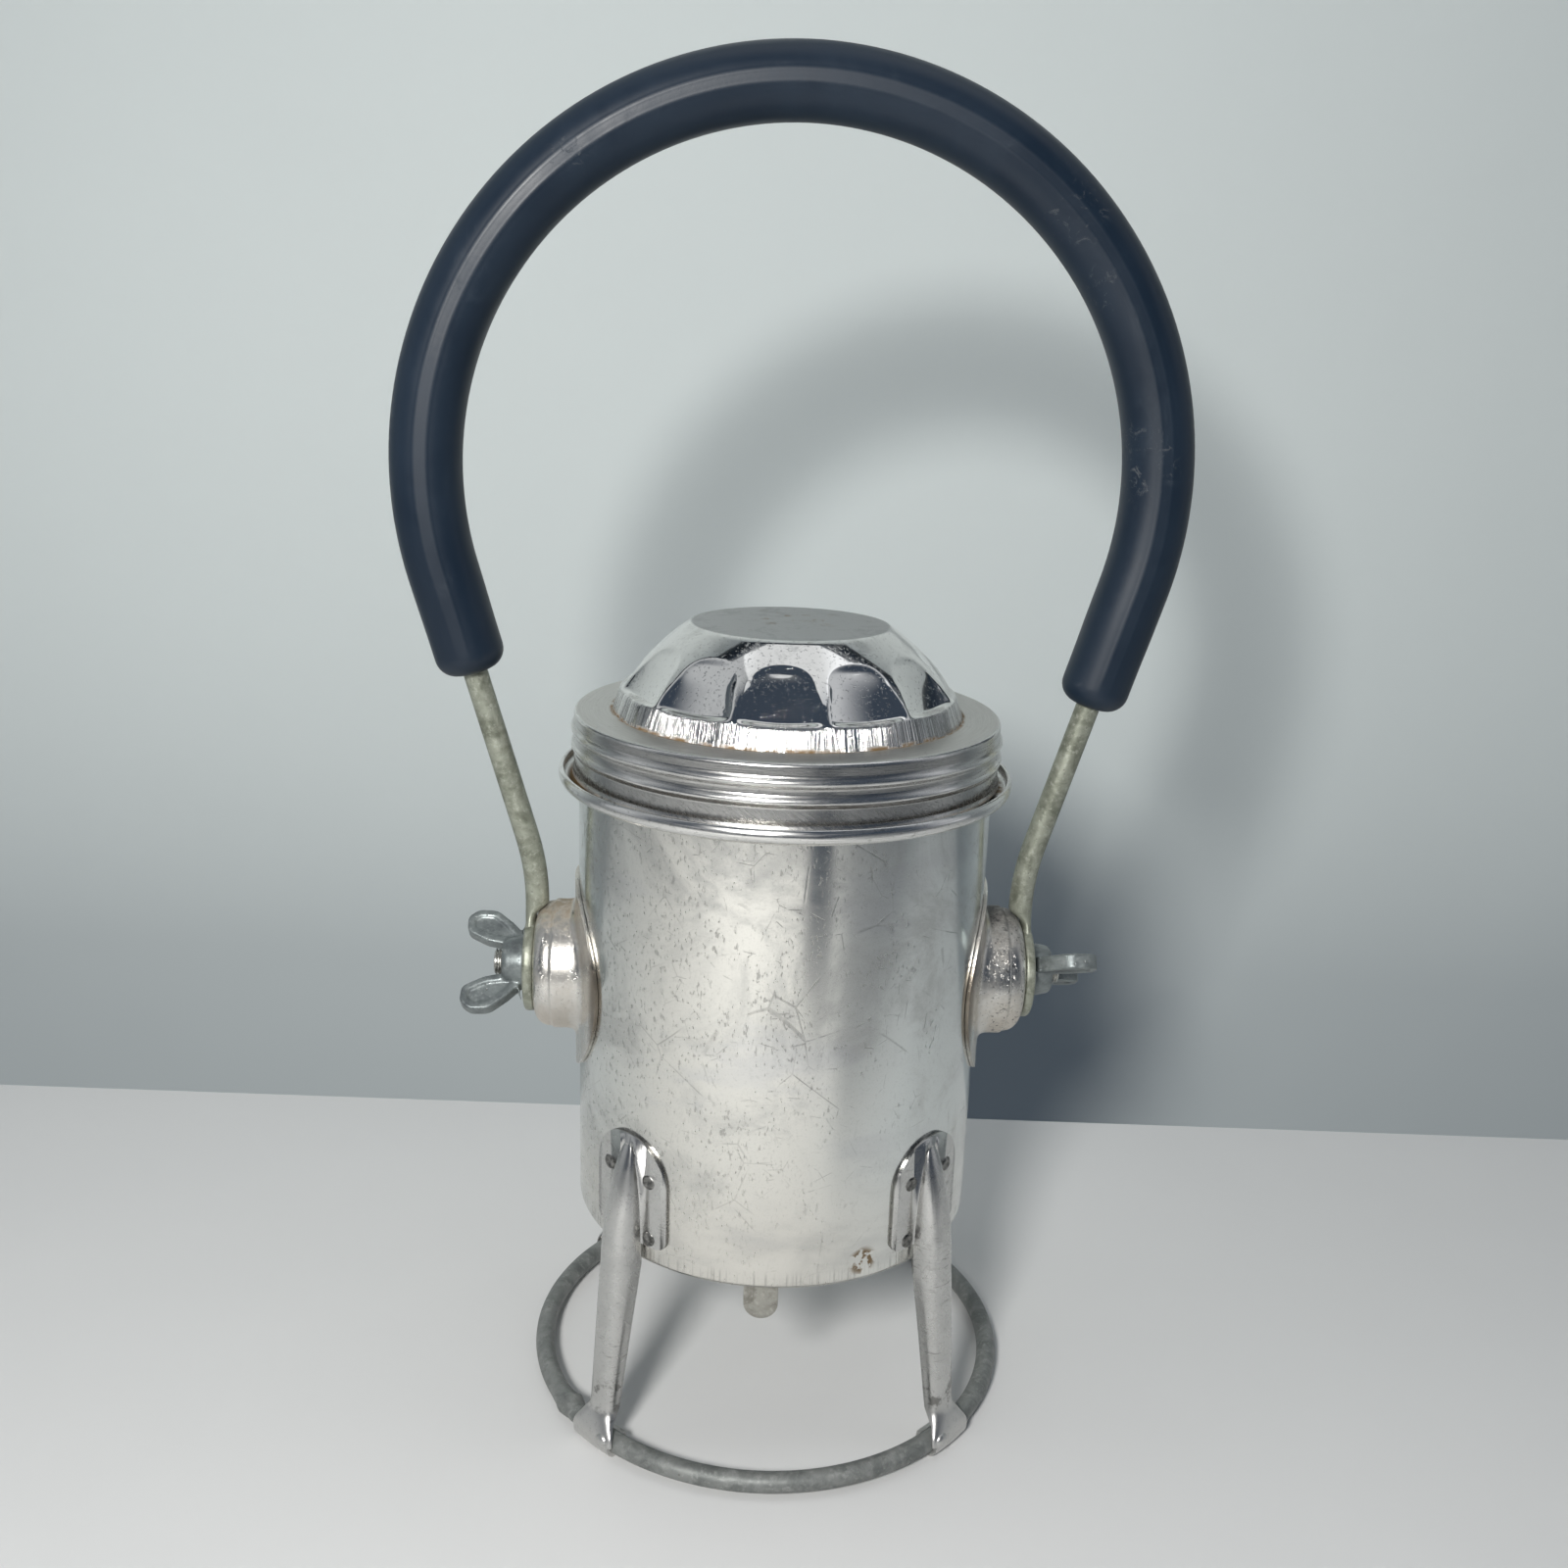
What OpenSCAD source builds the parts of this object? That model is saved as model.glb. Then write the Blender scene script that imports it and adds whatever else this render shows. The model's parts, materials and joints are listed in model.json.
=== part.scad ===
// Battery hand lantern for track work: a drawn metal body on a four-legged ring
// stand, a screw cap with a fluted dome, and a tall bail with a rubber grip.
// Millimetres. +Z is up, the bail pivots along X and the switch tab faces -Y.

/* [Body] */
// Outside diameter of the drawn body
body_od = 98; // [94:0.5:104]
// Thickness of the body sheet
body_wall = 0.8; // [0.6:0.1:1]
// Height of the body's lower edge above the floor
body_base = 47.5; // [44:0.5:56]
// Length of the body tube
body_h = 107.5; // [106.5:0.5:116]
// Width of the lip turned in at the lower edge
body_lip = 2.4; // [2:0.1:3.5]
// How far the rolled collar stands out past the body
collar_reach = 4.7; // [4.2:0.1:6]
// Radius of the collar's rolled lip
collar_roll = 2.2; // [1.8:0.1:2.4]

/* [Neck and cap] */
// Height of the threaded neck above the collar
neck_h = 14; // [12.5:0.5:16]
// How far the neck's spigot reaches down inside the body
spigot_h = 6; // [4:0.5:10]
// Thickness of the neck and cap sheet
cap_sheet = 0.8; // [0.6:0.1:1]
// Height of a rolled thread above its root
thread_h = 0.7; // [0.4:0.1:0.9]
// Rise of the thread in one turn
thread_pitch = 4; // [3.5:0.1:4.2]
// Thickness of the sealing ring under the cap
gasket_t = 1.4; // [1:0.1:2]
// Depth of the cap's skirt below its flat top
skirt_h = 14.8; // [13.4:0.1:15.4]
// Inside diameter of the cap's flat top
cap_hole_d = 78; // [70:0.5:79]

/* [Dome] */
// Outside diameter of the dome where it meets the cap
dome_d = 82.4; // [81:0.2:88]
// Height of the dome above the cap
dome_h = 20.6; // [19:0.2:24]
// Height of the plain band below the flutes
dome_band = 4.9; // [4:0.1:6]
// Diameter of the flat disc on top
dome_disc_d = 48; // [40:0.5:50]
// Number of flutes pressed into the dome
flute_count = 12; // [8:1:14]
// Radius across a flute
flute_r = 14; // [11:0.5:16]
// Depth of a flute where it is deepest
flute_depth = 1.9; // [1:0.1:2.2]
// Turn of the first flute from the front
flute_turn = -5.5; // [-15:0.5:15]

/* [Bail] */
// Diameter of the bail wire
bail_wire_d = 5.7; // [5:0.1:6.2]
// Radius of the bail's round part, to the middle of the wire
bail_r = 83; // [82:0.1:92]
// Height of the middle of that round above the pivot
bail_rise = 118.7; // [112:0.1:135]
// Height above the pivot at which the wire bends outward
bend_rise = 24.8; // [22:0.1:28]
// Radius of that bend
bend_r = 60; // [30:1:70]
// Diameter of the rubber grip
grip_d = 16.2; // [14:0.1:19]
// Length of grip below the round part on the left
grip_tail_left = 24; // [14:0.5:32]
// Length of grip below the round part on the right
grip_tail_right = 29; // [14:0.5:36]
// Rounding of the grip's ends
grip_round = 4; // [2:0.5:5]
// Diameter of the flattened eye at each end
eye_d = 23.5; // [20:0.5:25]
// Thickness of the eye
eye_t = 2.5; // [2.2:0.1:4]

/* [Pivots] */
// Height of the bail pivot above the body's lower edge
pivot_rise = 59.2; // [56:0.1:68]
// Diameter of the bracket's round plate
saddle_d = 48.6; // [46:0.1:56]
// Thickness of the bracket's sheet
saddle_t = 0.9; // [0.7:0.1:1.1]
// Distance from the axis of the body to the end of the boss
boss_x = 59.5; // [59:0.1:63]
// Outside diameter of the boss at the plate
boss_d = 31.6; // [30.8:0.1:35]
// Outside diameter of the boss past its step
boss_step_d = 30.6; // [29:0.1:31]
// Rounding at the outer end of the boss
boss_round = 3.8; // [1.5:0.1:4.2]
// Diameter of the pivot stud
stud_d = 6.35; // [5.5:0.05:7]
// How far the stud stands out past the boss
stud_reach = 10.3; // [9:0.1:12]
// Diameter of the stud's head inside the boss
stud_head_d = 12; // [10:0.5:14]
// Thickness of the stud's head
stud_head_t = 2.6; // [2:0.1:3]
// Diameter of the wing nut's hub at the eye
nut_d = 12.8; // [11:0.1:14]
// Height of the wing nut's hub
nut_h = 5.6; // [5:0.1:7]
// Distance across the two wings
wing_span = 26.6; // [24:0.2:29]
// How far the wings reach out from the eye
wing_reach = 15.2; // [13:0.1:16]
// Thickness of a wing
wing_t = 3; // [2:0.1:3.6]
// Turn of the left nut's wings
nut_turn_left = -48; // [-90:1:90]
// Turn of the right nut's wings
nut_turn_right = 58; // [-90:1:90]

/* [Stand] */
// Diameter of the ring, to the middle of its wire
ring_d = 116.4; // [114:0.2:124]
// Diameter of the ring wire
ring_wire_d = 4.8; // [4:0.1:5.2]
// Thickness of the leg sheet
leg_t = 0.9; // [0.7:0.1:1.1]
// Angle of a leg from the front or back
leg_angle = 45; // [40:1:50]
// Width of a leg's plate on the body
plate_w = 23; // [20:0.5:26]
// Height of a leg's plate
plate_h = 26.7; // [24:0.1:32]
// Height of the plate's lower edge above the body's lower edge
plate_rise = 5.3; // [3:0.1:8]
// Corner radius at the foot of the plate
plate_corner = 2.5; // [1:0.1:4]
// Width of the leg where it leaves the plate
leg_w = 9; // [7.5:0.1:11]
// Width of the leg just above the ring
ankle_w = 7.9; // [6.5:0.1:9]
// Width of the clip that wraps the ring
clip_w = 11.5; // [10:0.1:14]
// How far the leg's crown stands out from the plate at its foot
leg_bow = 6; // [5:0.1:7]

/* [Light unit] */
// Height of the pan that carries the contact board
pan_h = 17.3; // [16.5:0.1:19]
// Inside diameter of the pan's flange
pan_hole_d = 82; // [80:0.5:84]
// Thickness of the contact board
board_t = 1.6; // [1.2:0.1:2.4]
// Thickness of the reflector sheet
reflector_t = 0.5; // [0.4:0.1:0.8]
// Depth of the reflector's bowl
reflector_depth = 9.4; // [7:0.1:9.6]
// Diameter of the flat in the middle of the reflector
reflector_flat_d = 36; // [34:0.5:44]
// Distance from the middle to each bulb
bulb_x = 10.5; // [9.5:0.1:11]
// Diameter of a bulb's base
bulb_base_d = 9.8; // [9:0.1:10.2]
// Diameter of a bulb's glass
bulb_d = 11; // [9:0.1:12]
// Length of a bulb from its tip contact to the end of its glass
bulb_len = 23; // [21:0.5:25]
// Wall of a bulb's glass
glass_t = 0.5; // [0.4:0.1:0.8]
// Wall of a bulb socket
socket_t = 0.5; // [0.4:0.1:0.8]
// Thickness of the contact strips
contact_t = 0.4; // [0.3:0.1:0.5]

/* [Switch] */
// Width of the switch lever
lever_w = 8; // [6:0.1:9]
// Thickness of the switch lever
lever_t = 0.8; // [0.6:0.1:1]
// Distance from the middle to the lever's hanging tab
lever_reach = 45; // [44.6:0.1:45.4]
// How far the tab hangs below the body
lever_drop = 10; // [8:0.5:14]
// Turn of the lever from the front
lever_turn = -5; // [-10:0.5:10]
// Throw of the lever to each side
lever_throw = 18; // [12:1:20]
// Diameter of the lever's rivet
rivet_d = 3; // [2.5:0.1:4]

/* [Battery] */
// Width of the square battery
battery_w = 67; // [62:0.5:68]
// Corner radius of the battery
battery_corner = 9; // [7:0.5:14]
// Gap left below the cap for the battery
battery_slack = 0.25; // [0.2:0.05:0.5]
// Height of the battery's springs when pressed on the contacts
spring_h = 6.5; // [5.5:0.1:8]
// Wire of the battery's springs
spring_wire = 1; // [0.8:0.1:1.2]
// Distance from the middle to the corner spring
spring_x = 31; // [28:0.5:33]

/* [Fits] */
// Clearance between seated pieces that don't move
seat_gap = 0.05; // [0.02:0.01:0.1]
// Radial clearance of a turning fit
turn_gap = 0.08; // [0.02:0.01:0.1]
// Radial clearance between the cap and the neck
cap_gap = 0.1; // [0.05:0.05:0.2]

/* [Hidden] */
$fn = 64;
eps = 0.01;
big = 400;

body_r = body_od / 2;
body_ir = body_r - body_wall;
body_top = body_base + body_h;
pivot_z = body_base + pivot_rise;

ring_r = ring_d / 2;
wire_r = ring_wire_d / 2;
foot_flat = 0.15;
ring_z = wire_r + seat_gap + leg_t - foot_flat;
clip_r = wire_r + seat_gap;
foot_r = ring_r + clip_r + leg_t;

neck_z = body_top + body_wall;
neck_top = neck_z + neck_h;
neck_r = body_r - 0.1;
neck_ir = neck_r - cap_sheet;
neck_thread = 0.3;
cap_root_ir = neck_r + neck_thread + cap_gap;
cap_root_r = cap_root_ir + cap_sheet;
cap_ease = 0.1;
cap_under = neck_top + seat_gap + gasket_t;
cap_top = cap_under + cap_sheet;
skirt_z = cap_top - skirt_h;

dome_r = dome_d / 2;
dome_top = cap_top + dome_h;
disc_r = dome_disc_d / 2;
band_z = cap_top + dome_band;
band_r = dome_r - 0.36 * dome_band;

bail_x = boss_x + seat_gap + eye_t - bail_wire_d / 2 + 0.1;
arc_z = pivot_z + bail_rise;
bend_z = pivot_z + bend_rise;
arc_drop = arc_z - bend_z;
lean = acos(bail_r / norm([bail_x, arc_drop])) * -1 + atan2(arc_drop, bail_x);
bend_len = bend_r * tan(lean / 2);
grip_bore = bail_wire_d / 2 + seat_gap;

pan_z = body_base + body_wall;
pan_r = body_ir - seat_gap;
board_z = pan_z + pan_h;
board_top = board_z + board_t;
contact_top = board_top + contact_t;
battery_z = contact_top + spring_h;
battery_top = cap_under - battery_slack;
reflector_z = pan_z + body_wall;
reflector_r = pan_hole_d / 2 + 2.2;
flat_z = reflector_z + reflector_depth;
socket_r = bulb_base_d / 2 + socket_t + seat_gap;
bulb_top = board_z - contact_t - seat_gap;
lever_top = bulb_top;
hub_contact_r = 8.5;
track_half = 7;
strip_half = 2.5;
strip_in = 6.2;
slot_r = lever_reach - lever_t / 2;

// Points of an arc about c, from angle a to angle b
function arc(c, r, a, b, n = 8) =
    [for (i = [0:n]) c + r * [cos(a + (b - a) * i / n), sin(a + (b - a) * i / n)]];

// Round hump of height h and half width w, t away from its middle
function hump(t, w, h) = abs(t) < w ? h * pow(cos(90 * t / w), 2) : 0;

// Height of the threads of a ring at level z, with two turns below top
function threads(z, top, h) =
    hump(z - top, 0.42 * thread_pitch, h) + hump(z - top + thread_pitch, 0.42 * thread_pitch, h);

module ring_plate(r, hole, h) {
    difference() {
        cylinder(r = r, h = h);
        translate([0, 0, -1])
            cylinder(r = hole, h = h + 2);
    }
}

module on_side(side) {
    mirror([side < 0 ? 1 : 0, 0, 0])
        children();
}

// Turns a profile of [radius, distance] about the pivot axis, outward along +X
module about_pivot() {
    translate([0, 0, pivot_z])
        rotate([0, 90, 0])
            rotate_extrude()
                children();
}

module body_shell() {
    color("silver")
        difference() {
            union() {
                translate([0, 0, body_base])
                    cylinder(r = body_r, h = body_h);
            }
            translate([0, 0, body_base + body_wall])
                cylinder(r = body_ir, h = body_h);
            translate([0, 0, body_base - 1])
                cylinder(r = body_r - body_lip, h = body_wall + 2);
        }
}

module rim_collar() {
    roll_r = body_r + collar_reach - collar_roll;
    roll_z = body_top + collar_roll;
    color("gainsboro")
        rotate_extrude()
            polygon(concat(
                [[body_ir, body_top]],
                arc([roll_r, roll_z], collar_roll, -90, 40, 12),
                arc([roll_r, roll_z], collar_roll - body_wall, 40, -90, 12),
                [[body_ir, body_top + body_wall]]));
}

module threaded_neck() {
    steps = 28;
    color("silver")
        rotate_extrude()
            polygon(concat(
                [[pan_r - cap_sheet, body_top - spigot_h], [pan_r, body_top - spigot_h],
                    [pan_r, neck_z], [neck_r, neck_z]],
                [for (i = [0:steps])
                    let (z = neck_z + cap_sheet + (neck_h - cap_sheet) * i / steps)
                        [neck_r + threads(z, neck_top - 3, neck_thread), z]],
                [[neck_ir, neck_top], [neck_ir, neck_z + cap_sheet],
                    [pan_r - cap_sheet, neck_z + cap_sheet]]));
}

module base_ring() {
    color("slategray")
        translate([0, 0, ring_z])
            rotate_extrude()
                translate([ring_r, 0])
                    circle(r = wire_r);
}

// Outline of a leg's plate: round top, square foot with small corners
module plate_outline() {
    translate([0, plate_h - plate_w / 2])
        circle(d = plate_w);
    translate([-plate_w / 2, plate_corner])
        square([plate_w, plate_h - plate_w / 2 - plate_corner]);
    for (side = [-1, 1])
        translate([side * (plate_w / 2 - plate_corner), plate_corner])
            circle(r = plate_corner);
    translate([-plate_w / 2 + plate_corner, 0])
        square([plate_w - 2 * plate_corner, plate_corner]);
}

// Half of a leg's U section: from one free edge over the crown to the other
function u_curve(back, crown, half, n = 10) =
    [for (i = [0:n])
        let (a = -90 + 180 * i / n)
            [back + (crown - back) * pow(max(cos(a), 0), 0.55),
                half * sign(sin(a)) * pow(abs(sin(a)), 0.8)]];

// Closed section of the leg's sheet at one level
function leg_section(s) =
    let (back = s[1], crown = s[2], half = s[3] / 2,
        outer = u_curve(back, crown, half),
        inner = u_curve(back, back + max(crown - back - leg_t, 0.12), max(half - leg_t, 0.25)))
            [for (p = inner) [p[0], p[1], s[0]],
                for (i = [len(outer) - 1:-1:0]) [outer[i][0], outer[i][1], s[0]]];

// Skin over a stack of closed sections with equal counts
module loft(sections) {
    n = len(sections[0]);
    m = len(sections);
    points = [for (s = sections) for (p = s) p];
    sides = [for (j = [0:m - 2]) for (i = [0:n - 1])
        let (a = j * n + i, b = j * n + (i + 1) % n)
            each [[a, a + n, b + n], [a, b + n, b]]];
    polyhedron(points, concat(
        [[for (i = [0:n - 1]) i]],
        sides,
        [[for (i = [n - 1:-1:0]) (m - 1) * n + i]]), convexity = 8);
}

// A leg that points along +X: plate on the body, pressed channel, clip on the ring
module leg(dimple_side) {
    plate_z = body_base + plate_rise;
    seat_r = body_r + seat_gap;
    root = seat_r + leg_t / 2;
    knee = seat_r + leg_t + leg_bow;
    ankle = foot_r - 2.3;
    rib_top = plate_z + plate_h - 3;
    rise = rib_top - plate_z;
    fall = plate_z - ring_z;
    // Level, free edge, crown and width of the channel, from the rib's tip down
    stations = [
        [rib_top, root, seat_r + leg_t + 0.1, 2.2],
        [rib_top - 0.09 * rise, root, seat_r + leg_t + 0.16 * leg_bow, 0.46 * leg_w],
        [rib_top - 0.24 * rise, root, seat_r + leg_t + 0.38 * leg_bow, 0.66 * leg_w],
        [rib_top - 0.45 * rise, root, seat_r + leg_t + 0.62 * leg_bow, 0.82 * leg_w],
        [rib_top - 0.7 * rise, root, seat_r + leg_t + 0.83 * leg_bow, 0.93 * leg_w],
        [plate_z + 0.2, root, knee, leg_w],
        [plate_z - 0.11 * fall, root + 0.5, knee + 0.12 * (ankle - knee), leg_w],
        [plate_z - 0.2 * fall, root + 1.3, knee + 0.24 * (ankle - knee), leg_w],
        [plate_z - 0.36 * fall, root + 2.7, knee + 0.42 * (ankle - knee),
            leg_w + 0.3 * (ankle_w - leg_w)],
        [plate_z - 0.55 * fall, root + 4.2, knee + 0.64 * (ankle - knee),
            leg_w + 0.65 * (ankle_w - leg_w)],
        [plate_z - 0.75 * fall, root + 5.7, knee + 0.86 * (ankle - knee), ankle_w],
        [ring_z + 7.6, root + 6.6, ankle, ankle_w],
        [ring_z + 4.9, ring_r + 0.2, ankle + 1.1, ankle_w + 0.4 * (clip_w - ankle_w)],
        [ring_z + 2.4, foot_r - leg_t - 0.6, foot_r - 0.25, clip_w - 0.6],
        [ring_z + 0.4, foot_r - leg_t - 0.02, foot_r - 0.05, clip_w]];
    color("lightgray")
        union() {
            intersection() {
                translate([0, 0, plate_z - 1])
                    ring_plate(seat_r + leg_t, seat_r, plate_h + 2);
                translate([0, 0, plate_z])
                    rotate([90, 0, 90])
                        linear_extrude(height = 2 * body_r)
                            plate_outline();
            }
            loft([for (s = stations) leg_section(s)]);
            clip();
            rotate([0, 0, dimple_side * 3.7])
                translate([foot_r - 0.7, 0, ring_z + 1.1])
                    rotate([0, 90, 0])
                        cylinder(r1 = 1.7, r2 = 1, h = 0.95, $fn = 24);
        }
}

// Sheet wrapped under the ring wire, cut flat where the lantern stands
module clip() {
    span = 2 * asin(clip_w / 2 / ring_r);
    rotate([0, 0, -span / 2])
        intersection() {
            translate([0, 0, ring_z])
                rotate_extrude(angle = span)
                    translate([ring_r, 0])
                        difference() {
                            circle(r = clip_r + leg_t);
                            circle(r = clip_r);
                            rotate([0, 0, 45])
                                square([big, big]);
                            translate([-2 * clip_r, 0.6 * wire_r])
                                square([2 * clip_r, big]);
                        }
            cylinder(r = big, h = big);
        }
}

module leg_front_left() {
    rotate([0, 0, -90 - leg_angle])
        leg(1);
}

module leg_front_right() {
    rotate([0, 0, -90 + leg_angle])
        leg(-1);
}

module leg_rear_left() {
    rotate([0, 0, 90 + leg_angle])
        leg(-1);
}

module leg_rear_right() {
    rotate([0, 0, 90 - leg_angle])
        leg(1);
}

// Drawn cup of the bracket, as [radius, distance from the body's axis]
module boss_profile(inset) {
    r1 = boss_d / 2 - inset;
    r2 = boss_step_d / 2 - inset;
    end = boss_x - inset;
    root = 0.8 * body_r;
    step = boss_x - 5;
    polygon(concat(
        [[0, root], [r1, root], [r1, step - 0.6], [r2 + 0.3, step + 0.4]],
        [for (p = arc([r2 - boss_round, end - boss_round], boss_round, 0, 90, 6)) p],
        [[0, end]]));
}

module bail_bracket() {
    seat_r = body_r + seat_gap;
    color("gainsboro")
        difference() {
            union() {
                intersection() {
                    cylinder(r = seat_r + saddle_t, h = big);
                    translate([0, 0, pivot_z])
                        rotate([0, 90, 0])
                            cylinder(d = saddle_d, h = big);
                }
                about_pivot()
                    boss_profile(0);
            }
            translate([0, 0, -1])
                cylinder(r = seat_r, h = big);
            about_pivot()
                boss_profile(saddle_t);
            translate([0, 0, pivot_z])
                rotate([0, 90, 0])
                    cylinder(d = stud_d + 2 * seat_gap, h = big);
        }
}

module bail_bracket_left() {
    on_side(-1)
        bail_bracket();
}

module bail_bracket_right() {
    on_side(1)
        bail_bracket();
}

module pivot_stud() {
    head_end = boss_x - saddle_t;
    color("darkgray")
        about_pivot()
            polygon([[0, head_end - stud_head_t], [stud_head_d / 2, head_end - stud_head_t],
                [stud_head_d / 2, head_end], [stud_d / 2, head_end],
                [stud_d / 2, boss_x + stud_reach - 0.6],
                [stud_d / 2 - 0.6, boss_x + stud_reach], [0, boss_x + stud_reach]]);
}

module pivot_stud_left() {
    on_side(-1)
        pivot_stud();
}

module pivot_stud_right() {
    on_side(1)
        pivot_stud();
}

// One foot of the bail on +X: straight leg, bend, short neck and flattened eye
module bail_foot(r) {
    start = pivot_z + boss_d / 2 + 0.4;
    low = pivot_z + 0.37 * eye_d;
    draw = 0.03;
    eye_x = boss_x + seat_gap;
    tangent = [bail_r * cos(lean), arc_z - bail_r * sin(lean)];
    bend_end = [bail_x + bend_len * sin(lean), bend_z + bend_len * cos(lean)];
    translate([bend_end[0], 0, bend_end[1]])
        rotate([0, lean, 0])
            translate([0, 0, -0.5])
                cylinder(r = r - draw, h = norm(tangent - bend_end) + 1);
    translate([bail_x + bend_r, 0, bend_z - bend_len])
        rotate([90, 0, 0])
            rotate([0, 0, 180 - lean])
                rotate_extrude(angle = lean)
                    translate([bend_r, 0])
                        circle(r = r);
    difference() {
        translate([bail_x, 0, low])
            cylinder(r = r - draw, h = bend_z - bend_len - low + 0.5);
        translate([eye_x + 0.3 - big, -big / 2, start - big])
            cube([big, big, big]);
    }
    translate([eye_x, 0, pivot_z])
        rotate([90, 0, 90])
            linear_extrude(height = eye_t) {
                circle(d = eye_d);
                polygon([[-0.36 * eye_d, 0.3 * eye_d], [0.36 * eye_d, 0.3 * eye_d],
                    [0.8 * r, boss_d / 2 - 1], [-0.8 * r, boss_d / 2 - 1]]);
            }
}

module bail_wire() {
    color("dimgray")
        difference() {
            union() {
                translate([0, 0, arc_z])
                    rotate([90, 0, 0])
                        rotate([0, 0, -lean])
                            rotate_extrude(angle = 180 + 2 * lean)
                                translate([bail_r, 0])
                                    circle(d = bail_wire_d);
                for (side = [-1, 1])
                    on_side(side)
                        bail_foot(bail_wire_d / 2);
            }
            translate([-big / 2, 0, pivot_z])
                rotate([0, 90, 0])
                    cylinder(r = stud_d / 2 + turn_gap, h = big);
        }
}

// Straight end of the grip, from the round part down along the wire on +X
module grip_tail(len) {
    tangent = [bail_r * cos(lean), arc_z - bail_r * sin(lean)];
    r = grip_d / 2 - 0.1;
    bore = grip_bore + 0.05;
    translate([tangent[0], 0, tangent[1]])
        rotate([0, 180 + lean, 0])
            rotate_extrude()
                polygon(concat(
                    [[bore, -0.5], [r, -0.5]],
                    arc([r - grip_round, len - grip_round], grip_round, 0, 90, 8),
                    [[bore, len]]));
}

module bail_grip() {
    color("midnightblue")
        union() {
            translate([0, 0, arc_z])
                rotate([90, 0, 0])
                    rotate([0, 0, -lean])
                        rotate_extrude(angle = 180 + 2 * lean)
                            translate([bail_r, 0])
                                difference() {
                                    circle(d = grip_d);
                                    circle(r = grip_bore);
                                }
            grip_tail(grip_tail_right);
            on_side(-1)
                grip_tail(grip_tail_left);
        }
}

// Wing nut on the stud at +X, with its wings turned about the stud
module wing_nut(turn) {
    base = boss_x + eye_t + 2 * seat_gap;
    tip_r = 0.28 * wing_reach;
    color("gray")
        difference() {
            union() {
                about_pivot()
                    polygon([[0, base], [nut_d / 2, base], [nut_d / 2, base + 0.16 * nut_h],
                        [0.43 * nut_d, base + 0.4 * nut_h], [0.38 * nut_d, base + nut_h],
                        [0, base + nut_h]]);
                translate([base, 0, pivot_z])
                    rotate([turn, 0, 0])
                        for (side = [-1, 1])
                            hull() {
                                wing_pad([wing_reach - tip_r, side * (wing_span / 2 - tip_r)], tip_r);
                                wing_pad([0.36 * wing_reach, side * 0.3 * wing_span], 2.2);
                                wing_pad([2, side * 0.34 * nut_d], 1.6);
                            }
            }
            translate([0, 0, pivot_z])
                rotate([0, 90, 0])
                    cylinder(r = stud_d / 2 + turn_gap, h = big);
        }
}

module wing_pad(at, r) {
    translate([at[0], wing_t / 2, at[1]])
        rotate([90, 0, 0])
            cylinder(r = r, h = wing_t, $fn = 32);
}

module wing_nut_left() {
    on_side(-1)
        wing_nut(nut_turn_left);
}

module wing_nut_right() {
    on_side(1)
        wing_nut(nut_turn_right);
}

module cap_gasket() {
    color("saddlebrown")
        translate([0, 0, neck_top + seat_gap])
            ring_plate(cap_root_ir - cap_ease - seat_gap, neck_ir - 1, gasket_t);
}

module screw_cap() {
    steps = 40;
    flare = 0.5;
    top_r = cap_root_r - cap_ease;
    corner = 1;
    fall = cap_top - corner - skirt_z;
    outer = [for (i = [0:steps])
        let (z = skirt_z + fall * i / steps)
            [cap_root_r + hump(z - skirt_z, 1.6, flare) + threads(z, cap_top - 4.3, thread_h)
                * (i < steps ? 1 : 0), z]];
    color("silver")
        rotate_extrude()
            polygon(concat(
                outer,
                arc([top_r - corner, cap_top - corner], corner, 0, 90, 4),
                [[cap_hole_d / 2, cap_top], [cap_hole_d / 2, cap_under],
                    [cap_root_ir - cap_ease, cap_under]],
                [for (i = [steps:-1:0]) outer[i] - [cap_sheet, 0]]));
}

// Point of the dome's shoulder at s, set in by t along the normal
function shoulder(s, t) =
    let (p0 = [band_r, band_z],
        p1 = [band_r - 1.6, band_z + 0.22 * (dome_top - band_z)],
        p3 = [disc_r + 0.6, dome_top - 0.8],
        p2 = [p3[0] + 6.9, p3[1] - 5.2],
        q = 1 - s,
        p = q * q * q * p0 + 3 * q * q * s * p1 + 3 * q * s * s * p2 + s * s * s * p3,
        d = q * q * (p1 - p0) + 2 * q * s * (p2 - p1) + s * s * (p3 - p2))
            p - t * [d[1], -d[0]] / norm(d);

module dome_solid(t) {
    rotate_extrude()
        polygon(concat(
            [[0, cap_top - (t > 0 ? 1 : 0)], [dome_r - t, cap_top - (t > 0 ? 1 : 0)]],
            [for (i = [0:10]) shoulder(i / 10, t)],
            [[disc_r - 1.4, dome_top - t], [0, dome_top - t]]));
}

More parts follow.
